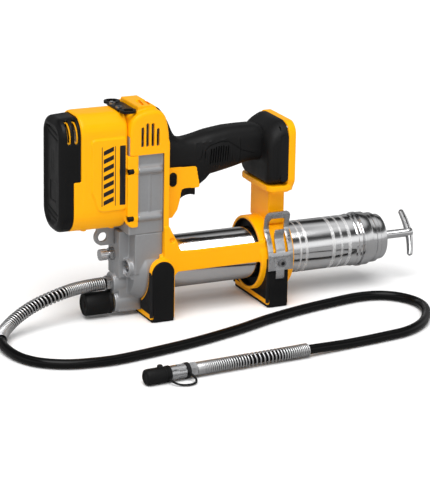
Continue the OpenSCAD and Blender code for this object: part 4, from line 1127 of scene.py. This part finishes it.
def dust_cap():
    """Cap and its nub, turned along X and then laid on the coupler line."""
    turn = Matrix.Rotation(math.atan2(COUPLER_RUN[1], COUPLER_RUN[0]), 4, "Z")
    lay = Matrix.Translation(Vector([c * MM for c in COUPLER_START])) @ turn
    cap = lathe(CAP_BODY, (0, 0), 48, "dust_cap_moulded")
    cut(cap, cylinder("X", 30, 53.5, 6.12, seg=48))
    cap.data.transform(lay)
    finish(cap, "rubber", "cap", "dust_cap", angle=35)
    nub = lathe(CAP_NUB, (41, 0), 24, "dust_cap_nub", axis="Z")
    nub.data.transform(lay)
    finish(nub, "rubber", "cap")


def housing_screw(y, z):
    ob = lathe(SCREW_PROFILE, (y, z), 36, "housing_screw_set")
    return cut(ob, prism(circle(y, z, 1.5, 6), "X", -38, -34.5))


def screws():
    ob = union(*[housing_screw(side * SCREW_Y, z) for side in SIDES for z in SCREW_ZS])
    finish(ob, "black", "tool", "housing_screws", angle=35)


def filler_cap():
    ob = lathe(FILLER_PROFILE, FILLER_AXIS, 64, "filler_cap_moulded")
    cut(ob, cylinder("X", -70, -40, 9.0, *FILLER_AXIS))
    finish(ob, "rubber", "filler", "filler_cap", angle=35)


# CAD nodes that keep their shape, by material
KEPT_NODES = {
    "zinc": ["relief_plug", "hose_fitting", "coupler_fitting", "coupler_body",
             "bleeder_body", "bleeder_stem", "follower_plate", "follower_spring"],
    "steel": ["motor_can", "motor_bearings", "intermediate_gear", "crank_gear",
              "gear_bearings", "pump_plunger", "check_ball", "check_spring", "coupler_jaws",
              "trigger_spring"],
    "cast": ["gear_case_cover"],
    "copper": ["rotor_shaft"],
    "board": ["controller_board"],
    "brass": ["filler_nipple", "terminal_blades"],
    "blackox": ["clip_screw", "strap_screws", "clamshell_screws", "rod_bush"],
    "black": ["motor_fan", "battery_terminal_block", "switch_body"],
    "rubber": ["plunger_seal", "dust_cap_tether", "barrel_gasket", "follower_seal"],
}


def recoat():
    for key, names in KEPT_NODES.items():
        for name in names:
            mesh = NODES[name].data
            mesh.materials.clear()
            mesh.materials.append(MATERIALS[key].material)


# ------------------------------------------------------------------ stage, in metres
FLOOR_HALF = 4.0
FLOOR_Z = -0.0004
# (height of the direction, -1 down to 1 up; grey) of the room that glossy surfaces mirror
ROOM_GREYS = ((-1, 0.3), (0.0, 0.35), (0.1, 0.9), (0.2, 1.15), (0.4, 1.15), (0.5, 0.25),
              (0.6, 0.06), (0.74, 0.06), (0.82, 0.6), (0.9, 0.9), (0.96, 0.5), (1, 0.5))


def studio_floor():
    verts = [(x, y, FLOOR_Z) for y in (-FLOOR_HALF, 0.0, FLOOR_HALF)
             for x in (-FLOOR_HALF, FLOOR_HALF)]
    mesh = bpy.data.meshes.new("studio_floor")
    mesh.from_pydata(verts, [], [[0, 1, 3, 2], [2, 3, 5, 4]])
    ob = bpy.data.objects.new("studio_floor", mesh)
    SC.collection.objects.link(ob)
    m = Material("floor", (0.93, 0.93, 0.93), rough=0.75)
    m.tones(m.noise(scale=1.2, detail=2), amount=0.006)
    # darker where it is seen mirrored in the plated parts
    mirrored = m.add("ShaderNodeLightPath").outputs["Is Glossy Ray"]
    m.wire("Base Color", m.mix(mirrored, m.source("Base Color"), rgba((0.3, 0.3, 0.3))))
    mesh.materials.append(m.material)
    mesh.shade_smooth()


def key_light():
    sun = bpy.data.lights.new("key", "SUN")
    sun.energy = 2.9
    sun.angle = math.radians(50)
    ob = bpy.data.objects.new("key", sun)
    towards_sun = Vector((-0.25, -0.42, 0.88))
    ob.rotation_euler = towards_sun.to_track_quat("Z", "Y").to_euler()
    SC.collection.objects.link(ob)


def room():
    """White for the camera, even light for the rest, and banded greys for reflections."""
    world = bpy.data.worlds.new("room")
    SC.world = world
    world.use_nodes = True
    n = Nodes(world.node_tree)
    mirrored = n.tree.nodes["Background"]
    axes = n.add("ShaderNodeSeparateXYZ")
    n.feed(axes.inputs[0], n.add("ShaderNodeTexCoord").outputs["Generated"])
    stops = [((z + 1) / 2, grey) for z, grey in ROOM_GREYS]
    height = n.map_range(axes.outputs["Z"], source=(-1, 1))
    n.feed(mirrored.inputs["Color"], n.grey_ramp(height, stops))
    # dimmer towards +Y, away from the camera
    dimming = n.map_range(axes.outputs["Y"], source=(0.1, 0.7), target=(1.0, 0.3),
                          interpolation_type="SMOOTHSTEP")
    n.feed(mirrored.inputs["Strength"], dimming)
    rays = n.add("ShaderNodeLightPath").outputs
    even = n.add("ShaderNodeBackground", Color=(1, 1, 1, 1), Strength=0.5)
    lit = n.mix_shader(rays["Is Glossy Ray"], even.outputs[0], mirrored.outputs[0])
    white = n.add("ShaderNodeBackground", Color=(1, 1, 1, 1), Strength=1.1)
    seen = n.mix_shader(rays["Is Camera Ray"], lit, white.outputs[0])
    n.feed(n.tree.nodes["World Output"].inputs["Surface"], seen)


CAMERA_TARGET = (62.893, -38.199, 71.461)   # mm
CAMERA_DISTANCE = 2.8
CAMERA_LENS = 185.7370518                   # mm, on a 36 mm sensor
CAMERA_ANGLES = (-25.0, 17.3, 1.0)          # azimuth, elevation, roll in degrees


def camera():
    azimuth, elevation, roll = (math.radians(a) for a in CAMERA_ANGLES)
    back = Vector((math.sin(azimuth) * math.cos(elevation),
                   -math.cos(azimuth) * math.cos(elevation), math.sin(elevation)))
    right = Vector((math.cos(azimuth), math.sin(azimuth), 0.0))
    up = back.cross(right)
    rolled_right = math.cos(roll) * right + math.sin(roll) * up
    rolled_up = -math.sin(roll) * right + math.cos(roll) * up
    cam = bpy.data.cameras.new("cam")
    cam.sensor_width = 36
    cam.lens = CAMERA_LENS
    cam.clip_start = 0.1
    cam.clip_end = 50
    ob = bpy.data.objects.new("camera", cam)
    matrix = Matrix((rolled_right, rolled_up, back)).transposed().to_4x4()
    matrix.translation = Vector(CAMERA_TARGET) * MM + back * CAMERA_DISTANCE
    ob.matrix_world = matrix
    SC.collection.objects.link(ob)
    SC.camera = ob


# ------------------------------------------------------------------ build
motor_housing()
motor_end_cap()
label()
gear_case()
pump_head()
frame_shells()
grips()
trigger()
lock_button()
foot_pad("front_foot_rubber", "front_foot_pad", middle_x=0.5, half=13.0, top=67.4)
foot_pad("rear_foot_rubber", "rear_foot_pad", middle_x=137.8, half=12.0, top=58.4)
barrel_tube()
barrel_end_cap()
ring_seal()
t_handle()
follower_rod()
hose_line()
clip()
strap()
dust_cap()
filler_cap()
screws()
recoat()
studio_floor()
key_light()
room()
camera()
SC.view_settings.view_transform = "Standard"
SC.view_settings.look = "None"

bpy.context.view_layer.update()
